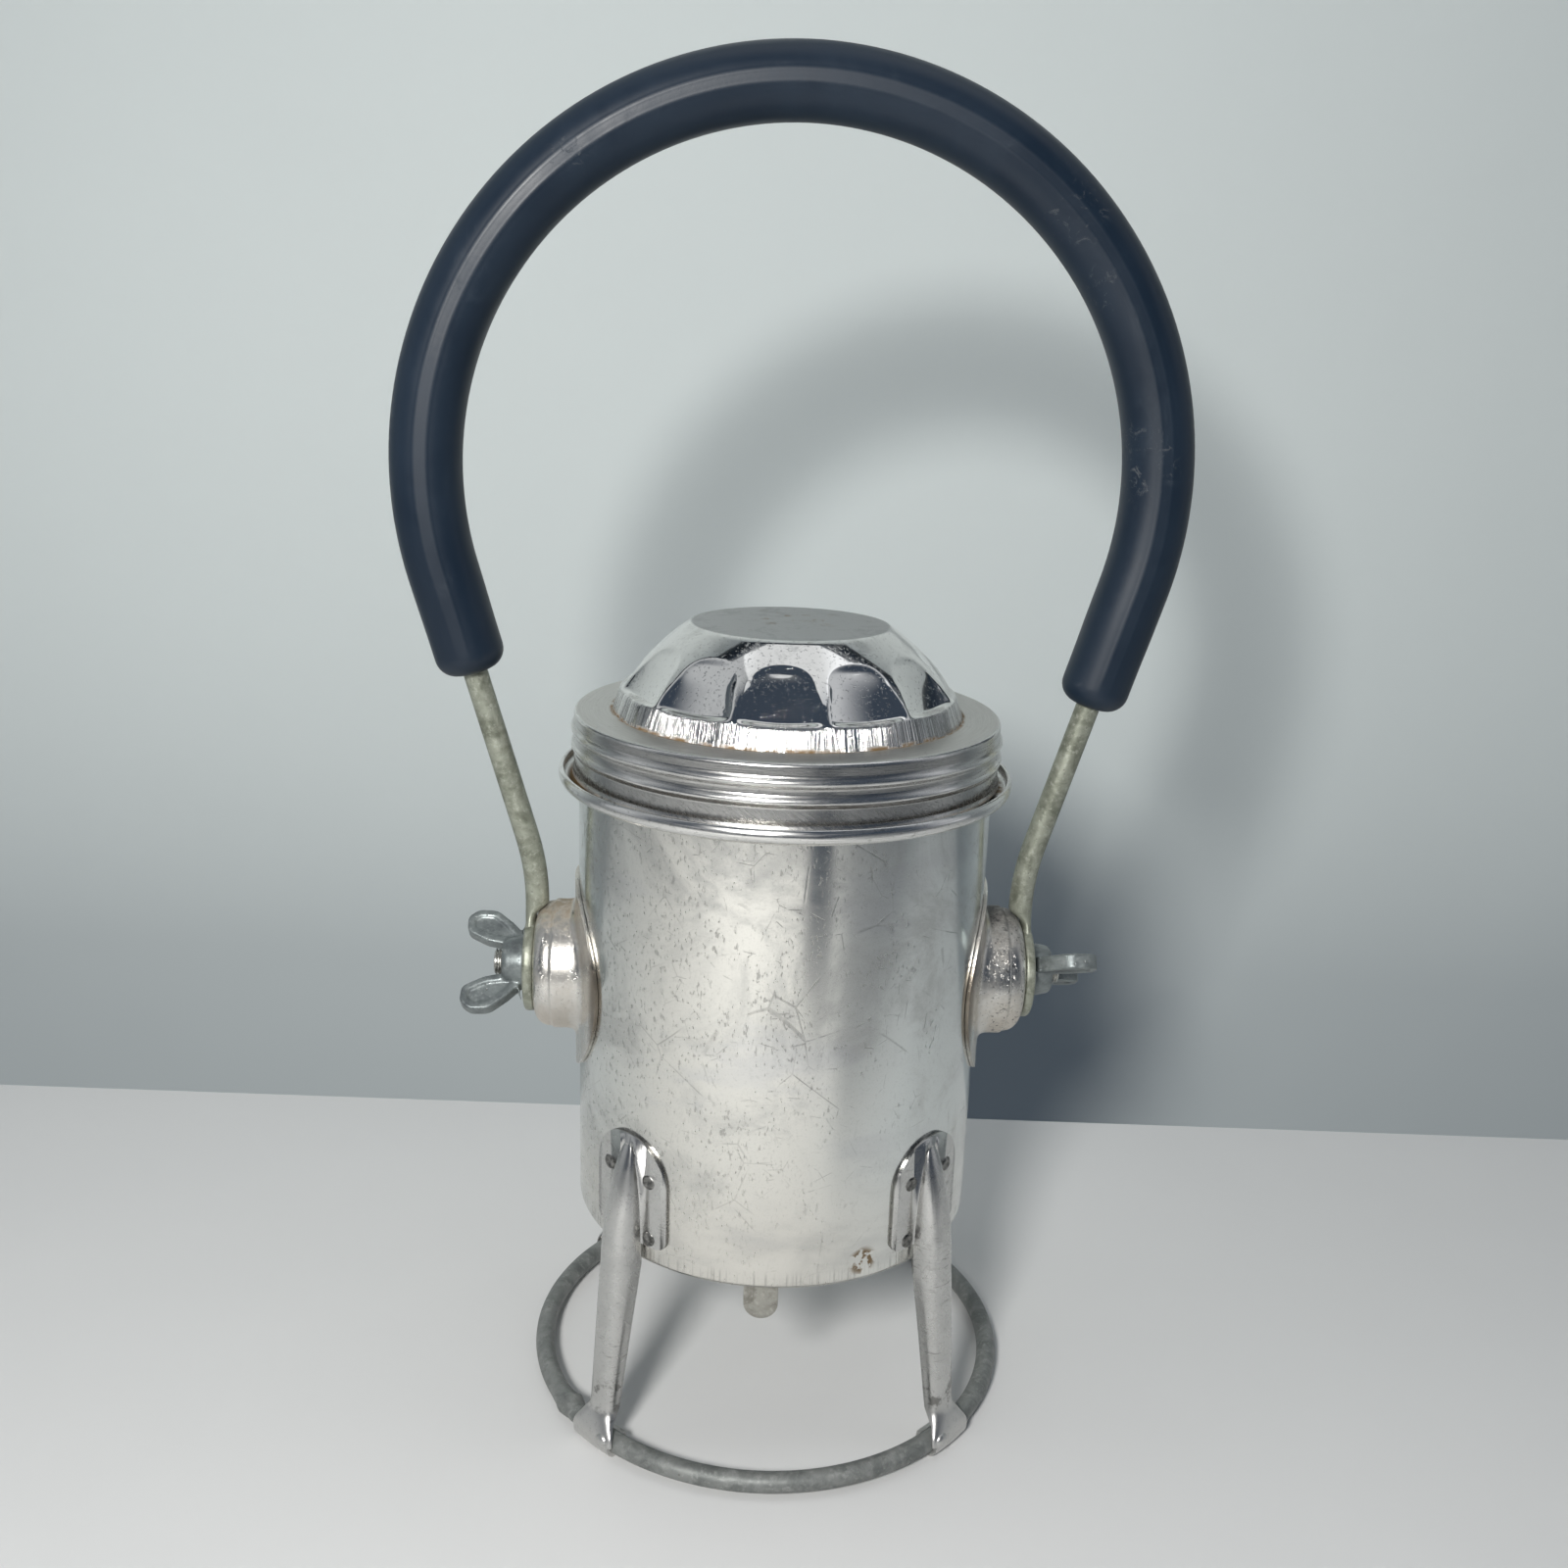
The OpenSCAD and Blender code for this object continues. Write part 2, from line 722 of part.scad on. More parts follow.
// Round-ended scoops laid along the dome's slope, one for each flute
module flutes(grow) {
    top = shoulder(0.8, 0);
    low = [band_r, band_z];
    slope = atan2(low[0] - top[0], top[1] - low[1]);
    run = norm(top - low);
    away = flute_r - flute_depth;
    cut_r = flute_r + grow;
    round_end = run - sqrt(flute_r * flute_r - away * away);
    for (i = [0:flute_count - 1])
        rotate([0, 0, -90 + flute_turn + i * 360 / flute_count])
            intersection() {
                translate([low[0] + away * cos(slope), 0, low[1] + away * sin(slope)])
                    rotate([0, -slope, 0])
                        rotate([0, 0, 140])
                            rotate_extrude(angle = 80)
                                intersection() {
                                    union() {
                                        translate([0, -flute_r])
                                            square([cut_r, flute_r + round_end]);
                                        translate([0, round_end])
                                            circle(r = cut_r);
                                    }
                                    translate([0, -flute_r])
                                        square([cut_r, 4 * flute_r]);
                                }
                translate([0, 0, band_z + 0.2 - grow])
                    cylinder(r = big, h = big);
            }
}

module cap_dome() {
    color("silver")
        difference() {
            dome_solid(0);
            flutes(0);
            difference() {
                dome_solid(cap_sheet);
                flutes(cap_sheet);
            }
        }
}

module bottom_pan() {
    slot_half = lever_throw + asin(lever_w / 2 / lever_reach) + 1;
    color("gray")
        difference() {
            translate([0, 0, pan_z])
                cylinder(r = pan_r, h = pan_h);
            translate([0, 0, pan_z + body_wall])
                cylinder(r = pan_r - body_wall, h = pan_h);
            translate([0, 0, pan_z - 1])
                cylinder(d = pan_hole_d, h = pan_h);
            translate([0, 0, pan_z - 1])
                rotate([0, 0, -90 + lever_turn - slot_half])
                    rotate_extrude(angle = 2 * slot_half)
                        translate([slot_r - 0.7, 0])
                            square([lever_t + 1.4, body_wall + 2]);
        }
}

module contact_board() {
    color("saddlebrown")
        translate([0, 0, board_z])
            ring_plate(pan_r - seat_gap, rivet_d / 2 + seat_gap, board_t);
}

// Plates on top of the board that meet the battery's two springs
module battery_contacts() {
    color("goldenrod")
        translate([0, 0, board_top]) {
            ring_plate(hub_contact_r, rivet_d / 2 + seat_gap, contact_t);
            ring_plate(spring_x + track_half, spring_x - track_half, contact_t);
        }
}

// Strips under the board, from each bulb's tip to the lever's path
module bulb_contacts() {
    reach = 8 * strip_half;
    color("goldenrod")
        rotate([0, 0, lever_turn])
            for (side = [-1, 1])
                translate([0, 0, board_z - contact_t])
                    linear_extrude(height = contact_t)
                        polygon([[side * (bulb_x - strip_half), strip_half + 0.5],
                            [side * (bulb_x + strip_half), strip_half + 0.5],
                            [side * (bulb_x + strip_half), -reach], [side * strip_in, -reach],
                            [side * strip_in, -reach + 2 * strip_half],
                            [side * (bulb_x - strip_half), -reach + 4.4 * strip_half]]);
}

module switch_rivet() {
    r = rivet_d / 2;
    low = lever_top - lever_t - turn_gap;
    color("darkgoldenrod")
        rotate_extrude()
            polygon([[0, low - 0.7], [3.1, low - 0.7], [3.1, low], [r, low],
                [r, lever_top + turn_gap], [2.8, lever_top + turn_gap], [2.8, board_z],
                [r, board_z], [r, contact_top], [2.6, contact_top],
                [2.6, contact_top + 0.6], [0, contact_top + 0.6]]);
}

// Bowl of the reflector at radius r, above its flange
function bowl(r) =
    let (inner = reflector_flat_d / 2, outer = pan_hole_d / 2 - 0.4)
        reflector_depth * (1 - pow((r - inner) / (outer - inner), 2));

module reflector() {
    inner = reflector_flat_d / 2;
    outer = pan_hole_d / 2 - 0.4;
    steps = 12;
    radii = [for (i = [0:steps]) inner + (outer - inner) * i / steps];
    color("lightgray")
        difference() {
            rotate_extrude()
                polygon(concat(
                    [[0, flat_z]],
                    [for (r = radii) [r, reflector_z + bowl(r)]],
                    [[reflector_r, reflector_z], [reflector_r, reflector_z + reflector_t],
                        [outer + 0.3, reflector_z + reflector_t]],
                    [for (i = [steps - 1:-1:0]) [radii[i] + 0.12,
                        reflector_z + bowl(radii[i]) + reflector_t]],
                    [[0, flat_z + reflector_t]]));
            for (side = [-1, 1])
                translate([side * bulb_x, 0, 0])
                    rotate([0, 0, 0])
                        cylinder(r = socket_r + seat_gap, h = big);
        }
}

// Screw shells that stand on the flat of the reflector by a flange
module bulb_sockets() {
    color("darkgoldenrod")
        for (side = [-1, 1])
            translate([side * bulb_x, 0, 0])
                difference() {
                    union() {
                        translate([0, 0, flat_z - 3.6])
                            cylinder(r = socket_r, h = bulb_top - 1.5 - flat_z + 3.6);
                        translate([0, 0, flat_z + reflector_t])
                            cylinder(r = min(socket_r + 1.4, bulb_x - 0.3), h = 0.6);
                    }
                    cylinder(r = socket_r - socket_t, h = big);
                }
}

module bulb_bases() {
    r = bulb_base_d / 2;
    low = bulb_top - 0.43 * bulb_len;
    color("goldenrod")
        for (side = [-1, 1])
            translate([side * bulb_x, 0, 0])
                rotate_extrude()
                    polygon([[0, low + 2], [r - 0.8, low + 2], [r - 0.8, low], [r, low],
                        [r, bulb_top - 2], [2.6, bulb_top - 1], [1.8, bulb_top], [0, bulb_top]]);
}

module bulb_glass(x) {
    r = bulb_d / 2;
    tip = bulb_top - bulb_len;
    neck = bulb_base_d / 2 - 0.85;
    low = bulb_top - 0.43 * bulb_len;
    bend = 180 - asin(neck / r);
    color("lightcyan", 0.4)
        translate([x, 0, 0])
            rotate_extrude()
                polygon(concat(
                    [for (p = arc([0, tip + r], r, -90, bend - 90, 12)) p],
                    [[neck, low + 1.95], [neck - glass_t, low + 1.95]],
                    [for (p = arc([0, tip + r], r - glass_t,
                        90 - asin((neck - glass_t) / (r - glass_t)), -90, 12)) p]));
}

module main_bulb_glass() {
    bulb_glass(-bulb_x);
}

module spare_bulb_glass() {
    bulb_glass(bulb_x);
}

module switch_lever() {
    low = lever_top - lever_t;
    tip = body_base - lever_drop;
    color("lightgray")
        rotate([0, 0, -90 + lever_turn])
            difference() {
                union() {
                    translate([0, 0, low])
                        cylinder(d = lever_w, h = lever_t);
                    translate([0, -lever_w / 2, low])
                        cube([lever_reach + lever_t / 2, lever_w, lever_t]);
                    translate([slot_r, -lever_w / 2, tip + lever_w / 2])
                        cube([lever_t, lever_w, lever_top - tip - lever_w / 2]);
                    translate([slot_r, 0, tip + lever_w / 2])
                        rotate([0, 90, 0])
                            cylinder(d = lever_w, h = lever_t);
                }
                cylinder(r = rivet_d / 2 + turn_gap, h = big);
            }
}

module rounded_square(w, r) {
    difference() {
        square([w, w], center = true);
        for (a = [0:90:270])
            rotate(a)
                translate([w / 2 - r, w / 2 - r])
                    difference() {
                        square([r + 1, r + 1]);
                        circle(r = r);
                    }
    }
}

module battery_case() {
    rim = 1.2;
    color("darkolivegreen")
        difference() {
            translate([0, 0, battery_z])
                linear_extrude(height = battery_top - battery_z)
                    rounded_square(battery_w, battery_corner);
            translate([0, 0, battery_top - 1])
                linear_extrude(height = 2)
                    rounded_square(battery_w - 2 * rim, battery_corner - rim);
        }
}

// Round wire wound up a cone from radius r1 to radius r2
module coil(r1, r2, wire, turns, rise) {
    around = 12;
    sides = 6;
    steps = turns * around;
    loft([for (i = [0:steps])
        let (a = 360 * i / around, r = r1 + (r2 - r1) * i / steps, z = rise * i / steps)
            [for (k = [0:sides - 1])
                let (b = 360 * k / sides, q = r + wire / 2 * cos(b))
                    [q * cos(a), q * sin(a), z - wire / 2 * sin(b)]]]);
}

module battery_springs() {
    rise = spring_h - spring_wire;
    color("silver")
        for (x = [0, spring_x])
            rotate([0, 0, 45])
                translate([x, 0, contact_top + spring_wire / 2])
                    coil(4.4, 6, spring_wire, 3, rise);
}

body_shell();
rim_collar();
threaded_neck();
bottom_pan();
contact_board();
battery_contacts();
bulb_contacts();
switch_rivet();
reflector();
bulb_sockets();
bulb_bases();
main_bulb_glass();
spare_bulb_glass();
bail_bracket_left();
bail_bracket_right();
pivot_stud_left();
pivot_stud_right();
leg_front_left();
leg_front_right();
leg_rear_left();
leg_rear_right();
base_ring();
bail_wire();
bail_grip();
wing_nut_left();
wing_nut_right();
cap_gasket();
screw_cap();
cap_dome();
battery_case();
battery_springs();
switch_lever();
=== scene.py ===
"""Battery hand lantern for track work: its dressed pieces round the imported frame, and the stage."""

import json
import math
from functools import reduce
from itertools import accumulate
from types import SimpleNamespace

import bmesh
import bpy
from bpy.props import FloatProperty, FloatVectorProperty, PointerProperty
from mathutils import Matrix, Vector, noise

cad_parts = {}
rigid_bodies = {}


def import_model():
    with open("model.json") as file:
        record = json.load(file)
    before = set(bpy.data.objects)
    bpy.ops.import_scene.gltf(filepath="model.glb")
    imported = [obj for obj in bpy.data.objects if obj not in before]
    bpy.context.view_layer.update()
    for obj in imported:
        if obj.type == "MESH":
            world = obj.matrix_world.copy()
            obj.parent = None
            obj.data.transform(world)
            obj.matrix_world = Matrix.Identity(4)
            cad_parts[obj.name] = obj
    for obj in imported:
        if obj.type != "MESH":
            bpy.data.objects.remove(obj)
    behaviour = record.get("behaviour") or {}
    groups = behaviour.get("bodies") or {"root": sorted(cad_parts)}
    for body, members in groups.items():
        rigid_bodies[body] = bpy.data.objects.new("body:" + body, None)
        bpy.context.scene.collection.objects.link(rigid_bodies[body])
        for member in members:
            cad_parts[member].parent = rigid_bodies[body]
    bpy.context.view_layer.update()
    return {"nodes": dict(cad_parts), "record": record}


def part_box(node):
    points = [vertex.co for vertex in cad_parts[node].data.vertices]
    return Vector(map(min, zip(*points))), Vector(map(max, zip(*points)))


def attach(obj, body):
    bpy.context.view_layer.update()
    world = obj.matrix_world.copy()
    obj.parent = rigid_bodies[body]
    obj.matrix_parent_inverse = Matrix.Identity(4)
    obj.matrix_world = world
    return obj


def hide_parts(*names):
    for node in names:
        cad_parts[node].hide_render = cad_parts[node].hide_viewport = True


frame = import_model()

bl_info = {
    "name": "Track Lantern",
    "version": (1, 0, 0),
    "blender": (4, 5, 0),
    "location": "View3D > Sidebar > Lantern",
    "description": "Builds the dressed pieces of a battery hand lantern round its packed frame",
    "category": "Object",
}

NODES = frame["nodes"]
BODY_OF = {n: b for b, names in frame["record"]["behaviour"]["bodies"].items() for n in names}

# Sizes in millimetres that several pieces share
PLATE_LIFT = 0.95  # Outer face of a bracket's or leg's plate above the body
FOOT_OUT = 59.3  # Axis to the middle of the bail wire's upright foot
BEND_RISE = 24.8  # Pivot to where the upright foot's line meets the leaning part's
BEND_RADIUS = 60.0  # Radius of the bend between them
LEAN = math.radians(16.09)  # Lean of the bail's straight part
STEP = 2.5  # From one of the bail's stations to the next
CLOSE = 1e-4  # Points nearer than this are merged
SIDES = ((-1, "left"), (1, "right"))


def top_of(node):
    return float(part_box(node)[1][2])


def reach_of(node):
    return float(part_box(node)[1][0])


def length(name, description, default):
    """A size in metres with its words."""
    return FloatProperty(name=name, description=description, default=default, min=0.0,
                         unit="LENGTH", precision=5)


def paint(name, description, default):
    """A colour with its words."""
    return FloatVectorProperty(name=name, description=description, default=default, size=3,
                               min=0.0, max=1.0, subtype="COLOR")


class LanternSizes(bpy.types.PropertyGroup):
    """Sizes of the dressed pieces."""

    body_radius: length("Body radius", "Outside radius of the drawn body",
                        reach_of("body_shell"))
    body_base: length("Body base", "Height of the body's lower edge",
                      float(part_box("body_shell")[0][2]))
    body_top: length("Body top", "Height of the body's upper edge", top_of("body_shell"))
    body_lip: length("Body lip", "Width of the lip turned in at the lower edge", 0.0024)
    sheet: length("Sheet", "Thickness of the body, collar, cap and dome sheet", 0.0008)
    collar_radius: length("Collar radius", "Outside radius of the rolled collar",
                          reach_of("rim_collar"))
    collar_roll: length("Collar roll", "Radius of the collar's rolled lip", 0.0022)
    cap_root: length("Cap radius", "Outside radius of the cap between its beads", 0.0501)
    cap_top: length("Cap top", "Height of the cap's flat top", top_of("screw_cap"))
    cap_foot: length("Cap foot", "Height of the cap's lower edge",
                     float(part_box("screw_cap")[0][2]))
    cap_hole: length("Cap hole", "Radius of the hole in the cap's flat top", 0.039)
    bead: length("Bead", "Height of a rolled bead on the cap", 0.0007)
    dome_radius: length("Dome radius", "Radius of the dome where it meets the cap",
                        reach_of("cap_dome"))
    dome_top: length("Dome top", "Height of the dome's flat disc", top_of("cap_dome"))
    dome_band: length("Dome band", "Height of the plain band below the flutes", 0.0049)
    disc_radius: length("Disc radius", "Radius of the flat disc on top", 0.024)
    flute_depth: length("Flute depth", "Depth of a flute where it is deepest", 0.0021)
    pivot: length("Pivot height", "Height of the bail pivot", 0.1067)
    plate_radius: length("Plate radius", "Radius of the bracket's round plate", 0.0243)
    boss_end: length("Boss end", "Distance from the body's axis to the end of the boss", 0.0595)
    stud_radius: length("Stud radius", "Radius of the pivot stud", 0.003175)
    stud_end: length("Stud end", "Distance from the body's axis to the stud's end", 0.0698)
    eye_radius: length("Eye radius", "Radius of the flattened eye", 0.01175)
    wire_radius: length("Bail wire radius", "Radius of the bail wire", 0.00285)
    bail_radius: length("Bail radius", "Radius of the bail's round part", 0.083)
    bail_centre: length("Bail centre", "Height of the middle of the round part", 0.2254)
    grip_radius: length("Grip radius", "Radius of the rubber grip", 0.0081)
    tail_left: length("Left tail", "Length of grip below the round part on the left", 0.024)
    tail_right: length("Right tail", "Length of grip below the round part on the right", 0.029)
    grip_round: length("Grip end", "Rounding of the grip's ends", 0.0047)
    ring_radius: length("Ring radius", "Radius of the stand's ring", 0.0582)
    ring_wire: length("Ring wire", "Radius of the ring's wire", 0.0024)
    ring_level: length("Ring level", "Height of the middle of the ring's wire",
                       (float(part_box("base_ring")[0][2]) + top_of("base_ring")) / 2)


class LanternColours(bpy.types.PropertyGroup):
    """Colours of the finishes."""

    nickel: paint("Nickel", "Bright plate on the body, cap and dome", (0.83, 0.82, 0.8))
    worn_nickel: paint("Worn nickel", "Plate dulled by handling", (0.5, 0.5, 0.485))
    # Pits and specks in the plate; the cap also takes this colour as painted shade on its skirt and
    # in its grooves
    pits_and_shade: paint("Pitting", "Pits and specks in the plate", (0.16, 0.155, 0.145))
    grime: paint("Grime", "Brown dirt in seams and corners", (0.2, 0.125, 0.05))
    bracket: paint("Bracket plate", "Dull plate of the bail brackets", (0.62, 0.58, 0.52))
    stain: paint("Stain", "Brown stain on the left boss", (0.24, 0.19, 0.125))
    soot: paint("Soot", "Dark soot on the right boss", (0.035, 0.036, 0.038))
    galvanise: paint("Galvanised", "Weathered zinc on the bail wire", (0.32, 0.335, 0.275))
    casting: paint("Cast zinc", "Grey of the wing nuts", (0.21, 0.235, 0.235))
    ring_zinc: paint("Ring zinc", "Dull grey of the stand's ring", (0.25, 0.26, 0.25))
    rubber: paint("Grip rubber", "Blue-black rubber of the grip", (0.0055, 0.0135, 0.0265))
    scuff: paint("Scuff", "Grey scuffs on the grip", (0.085, 0.092, 0.1))
    jacket: paint("Battery jacket", "Plain jacket of the battery", (0.05, 0.105, 0.06))
    brass: paint("Brass", "Contacts and bulb bases", (0.68, 0.47, 0.2))
    board: paint("Board", "Red-brown fibre board", (0.13, 0.045, 0.022))


class LanternStage(bpy.types.PropertyGroup):
    """The stage, its lamps and its camera."""

    floor: paint("Floor", "Pale cloth under the lantern", (0.72, 0.72, 0.715))
    wall: paint("Wall", "Pale wall behind the lantern", (0.74, 0.795, 0.785))
    room: paint("Room", "Dark room that the bright metal mirrors", (0.045, 0.06, 0.085))
    wall_distance: length("Wall distance", "From the lantern's axis to the wall", 0.256)
    floor_edge: length("Floor edge", "From the lantern's axis to the cloth's back edge", 0.1245)
    lens: FloatProperty(name="Lens", description="Focal length of the camera",
                        default=34.54, unit="CAMERA")
    key: FloatProperty(name="Key lamp", description="Power of the soft lamp at the left front",
                       default=4.2, unit="POWER")
    overhead: FloatProperty(name="Overhead lamp", description="Power of the lamp above",
                            default=1.7, unit="POWER")


def in_millimetres(context):
    """The sizes as plain numbers in millimetres."""
    sizes = context.scene.lantern_sizes
    keys = LanternSizes.__annotations__
    return SimpleNamespace(**{k: round(getattr(sizes, k) * 1000, 4) for k in keys})


# Shapes: each is made in millimetres and scaled when it is handed over


def arc(cx, cy, radius, start, end, count):
    """Points of an arc, both ends included, from one angle in degrees to another."""
    turn = [math.radians(start + (end - start) * i / count) for i in range(count + 1)]
    return [(cx + radius * math.cos(a), cy + radius * math.sin(a)) for a in turn]


def ease(low, high, value):
    """Smooth step from 0 at low to 1 at high."""
    t = min(max((value - low) / (high - low), 0.0), 1.0)
    return t * t * (3 - 2 * t)


def turned(points, steps=128, closed=True):
    """A profile of (radius, level) spun a full turn about the Z axis."""
    bm = bmesh.new()
    verts = [bm.verts.new((r, 0.0, z)) for r, z in points]
    ends = verts[1:] + verts[:1] if closed else verts[1:]
    edges = [bm.edges.new(pair) for pair in zip(verts, ends)]
    bmesh.ops.spin(bm, geom=verts + edges, cent=(0, 0, 0), axis=(0, 0, 1),
                   angle=2 * math.pi, steps=steps, use_merge=True)
    bmesh.ops.remove_doubles(bm, verts=bm.verts, dist=CLOSE)
    bmesh.ops.recalc_face_normals(bm, faces=bm.faces)
    return bm


def face_up(bm):
    """Turns an open sheet so that its highest face looks up."""
    bm.normal_update()
    high = max(bm.faces, key=lambda f: (round(f.calc_center_median().z, 3), abs(f.normal.z)))
    if high.normal.z < 0:
        bmesh.ops.reverse_faces(bm, faces=bm.faces)


def to_side(bm, side, level):
    """Lays a shape turned about Z along the pivot axis, outward to one side."""
    turn = Matrix.Rotation(math.radians(90 * side), 4, "Y")
    bmesh.ops.transform(bm, matrix=Matrix.Translation((0, 0, level)) @ turn, verts=bm.verts)


def knob(profile, steps, turn, distance, level):
    """A low turned shape that stands out from the axis, at a turn in radians round it."""
    bm = turned(profile, steps, closed=False)
    face_up(bm)
    place = Matrix.Rotation(turn, 4, "Z") @ Matrix.Translation((distance, 0, level))
    bmesh.ops.transform(bm, matrix=place @ Matrix.Rotation(math.radians(90), 4, "Y"),
                        verts=bm.verts)
    return bm


def walked(points):
    """How far along a line each of its points lies."""
    return list(accumulate(((b - a).length for a, b in zip(points, points[1:])), initial=0.0))


def loft(loops, flip=False):
    """A skin drawn through closed loops with the same count of points, capped at its ends.

    Flipped, its bent faces fold along their other diagonal."""
    bm = bmesh.new()
    ring = [bm.verts.new(p) for p in loops[0]]
    edges = [bm.edges.new((b, a) if flip else (a, b)) for a, b in zip(ring, ring[1:] + ring[:1])]
    first = list(edges)
    for loop in loops[1:]:
        out = bmesh.ops.extrude_edge_only(bm, edges=edges)["geom"]
        fresh = {v for v in out if isinstance(v, bmesh.types.BMVert)}
        ring = [next(e.other_vert(v) for e in v.link_edges if e.other_vert(v) in fresh)
                for v in ring]
        edges = [bm.edges.get(pair) for pair in zip(ring, ring[1:] + ring[:1])]
        for v, p in zip(ring, loop):
            v.co = p
    bmesh.ops.holes_fill(bm, edges=first + edges, sides=0)
    bmesh.ops.remove_doubles(bm, verts=bm.verts, dist=CLOSE)
    bmesh.ops.recalc_face_normals(bm, faces=bm.faces)
    return bm


def tube(stations, sides):
    """A pipe through stations of (centre, across, half width, half depth).

    Each ring lies across the XZ plane: half width runs along `across`, half depth along Y.
    An optional fifth entry changes the ring's radius by the angle round it."""
    blank = bmesh.new()
    circle = bmesh.ops.create_circle(blank, cap_ends=False, segments=sides, radius=1.0)["verts"]
    unit = [v.co.copy() for v in circle]
    blank.free()
    loops = []
    for centre, across, wide, deep, *shape in stations:
        grown = [shape[0](math.atan2(u.y, u.x)) if shape else 0.0 for u in unit]
        loops.append([centre + across * u.x * (wide + grow)
                      + Vector((0, 1, 0)) * u.y * (deep + grow) for u, grow in zip(unit, grown)])
    return loft(loops, flip=True)


def put(name, data):
    """An object in the scene for a mesh, a lamp or a camera."""
    thing = bpy.data.objects.new(name, data)
    bpy.context.scene.collection.objects.link(thing)
    return thing


def solid(name, bm):
    """An object in the scene for a shape, which is freed."""
    mesh = bpy.data.meshes.new(name)
    bm.to_mesh(mesh)
    bm.free()
    return put(name, mesh)


def gather(target, source):
    """Adds one shape's mesh to another and frees it."""
    mesh = bpy.data.meshes.new("gather")
    source.to_mesh(mesh)
    source.free()
    target.from_mesh(mesh)
    bpy.data.meshes.remove(mesh)


def worked(bm, *works):
    """Runs modifiers on a shape and returns the result, still in millimetres."""
    blank, helpers = solid("blank", bm), []
    for kind, values in works:
        work = blank.modifiers.new(kind.title(), kind)
        for key, value in values.items():
            if isinstance(value, bmesh.types.BMesh):
                value = solid("tool", value)
                helpers.append(value)
            setattr(work, key, value)
    bpy.context.view_layer.update()
    done = bmesh.new()
    result = blank.evaluated_get(bpy.context.evaluated_depsgraph_get())
    done.from_mesh(result.to_mesh())
    result.to_mesh_clear()
    for spare in [blank] + helpers:
        data = spare.data
        bpy.data.objects.remove(spare)
        bpy.data.meshes.remove(data)
    return done


def sharp_edges(bm, degrees):
    """Edges whose two faces turn by more than so many degrees."""
    return [e for e in bm.edges if len(e.link_faces) == 2
            and e.calc_face_angle(0.0) > math.radians(degrees)]


def bevel(bm, edges, offset, segments):
    """Rounds edges by an offset in millimetres."""
    bmesh.ops.bevel(bm, geom=edges, offset=offset, offset_type="OFFSET", segments=segments,
                    affect="EDGES", profile=0.5, material=-1, clamp_overlap=True)


def hand_over(bm, node, made, finish, crease=35):
    """Makes a finished shape an object that rides on its body.

    With a word for how it was made it stands for its node. Without one it's a piece of its
    own that rides on the lantern."""
    name = f"{node}_{made}" if made else node
    bmesh.ops.scale(bm, vec=(0.001, 0.001, 0.001), verts=bm.verts)
    piece = solid(name, bm)
    piece.data.shade_smooth()
    piece.data.set_sharp_from_angle(angle=math.radians(crease))
    piece.data.materials.append(finish)
    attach(piece, BODY_OF[node] if made else "lantern")
    if made:
        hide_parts(node)
    return piece


def smoothed(node, made, slot, finish, crease=35, chamfer=0.0):
    """A merged and smoothly shaded copy of a node's own shape stands for it."""
    bm = bmesh.new()
    bm.from_mesh(NODES[node].data)
    bmesh.ops.scale(bm, vec=(1000, 1000, 1000), verts=bm.verts)
    bmesh.ops.remove_doubles(bm, verts=bm.verts, dist=0.002)
    if chamfer:
        bmesh.ops.dissolve_limit(bm, angle_limit=math.radians(1), verts=bm.verts,
                                 edges=bm.edges)
        bevel(bm, sharp_edges(bm, 50), chamfer, 2)
    return hand_over(bm, node, made, finish, crease)


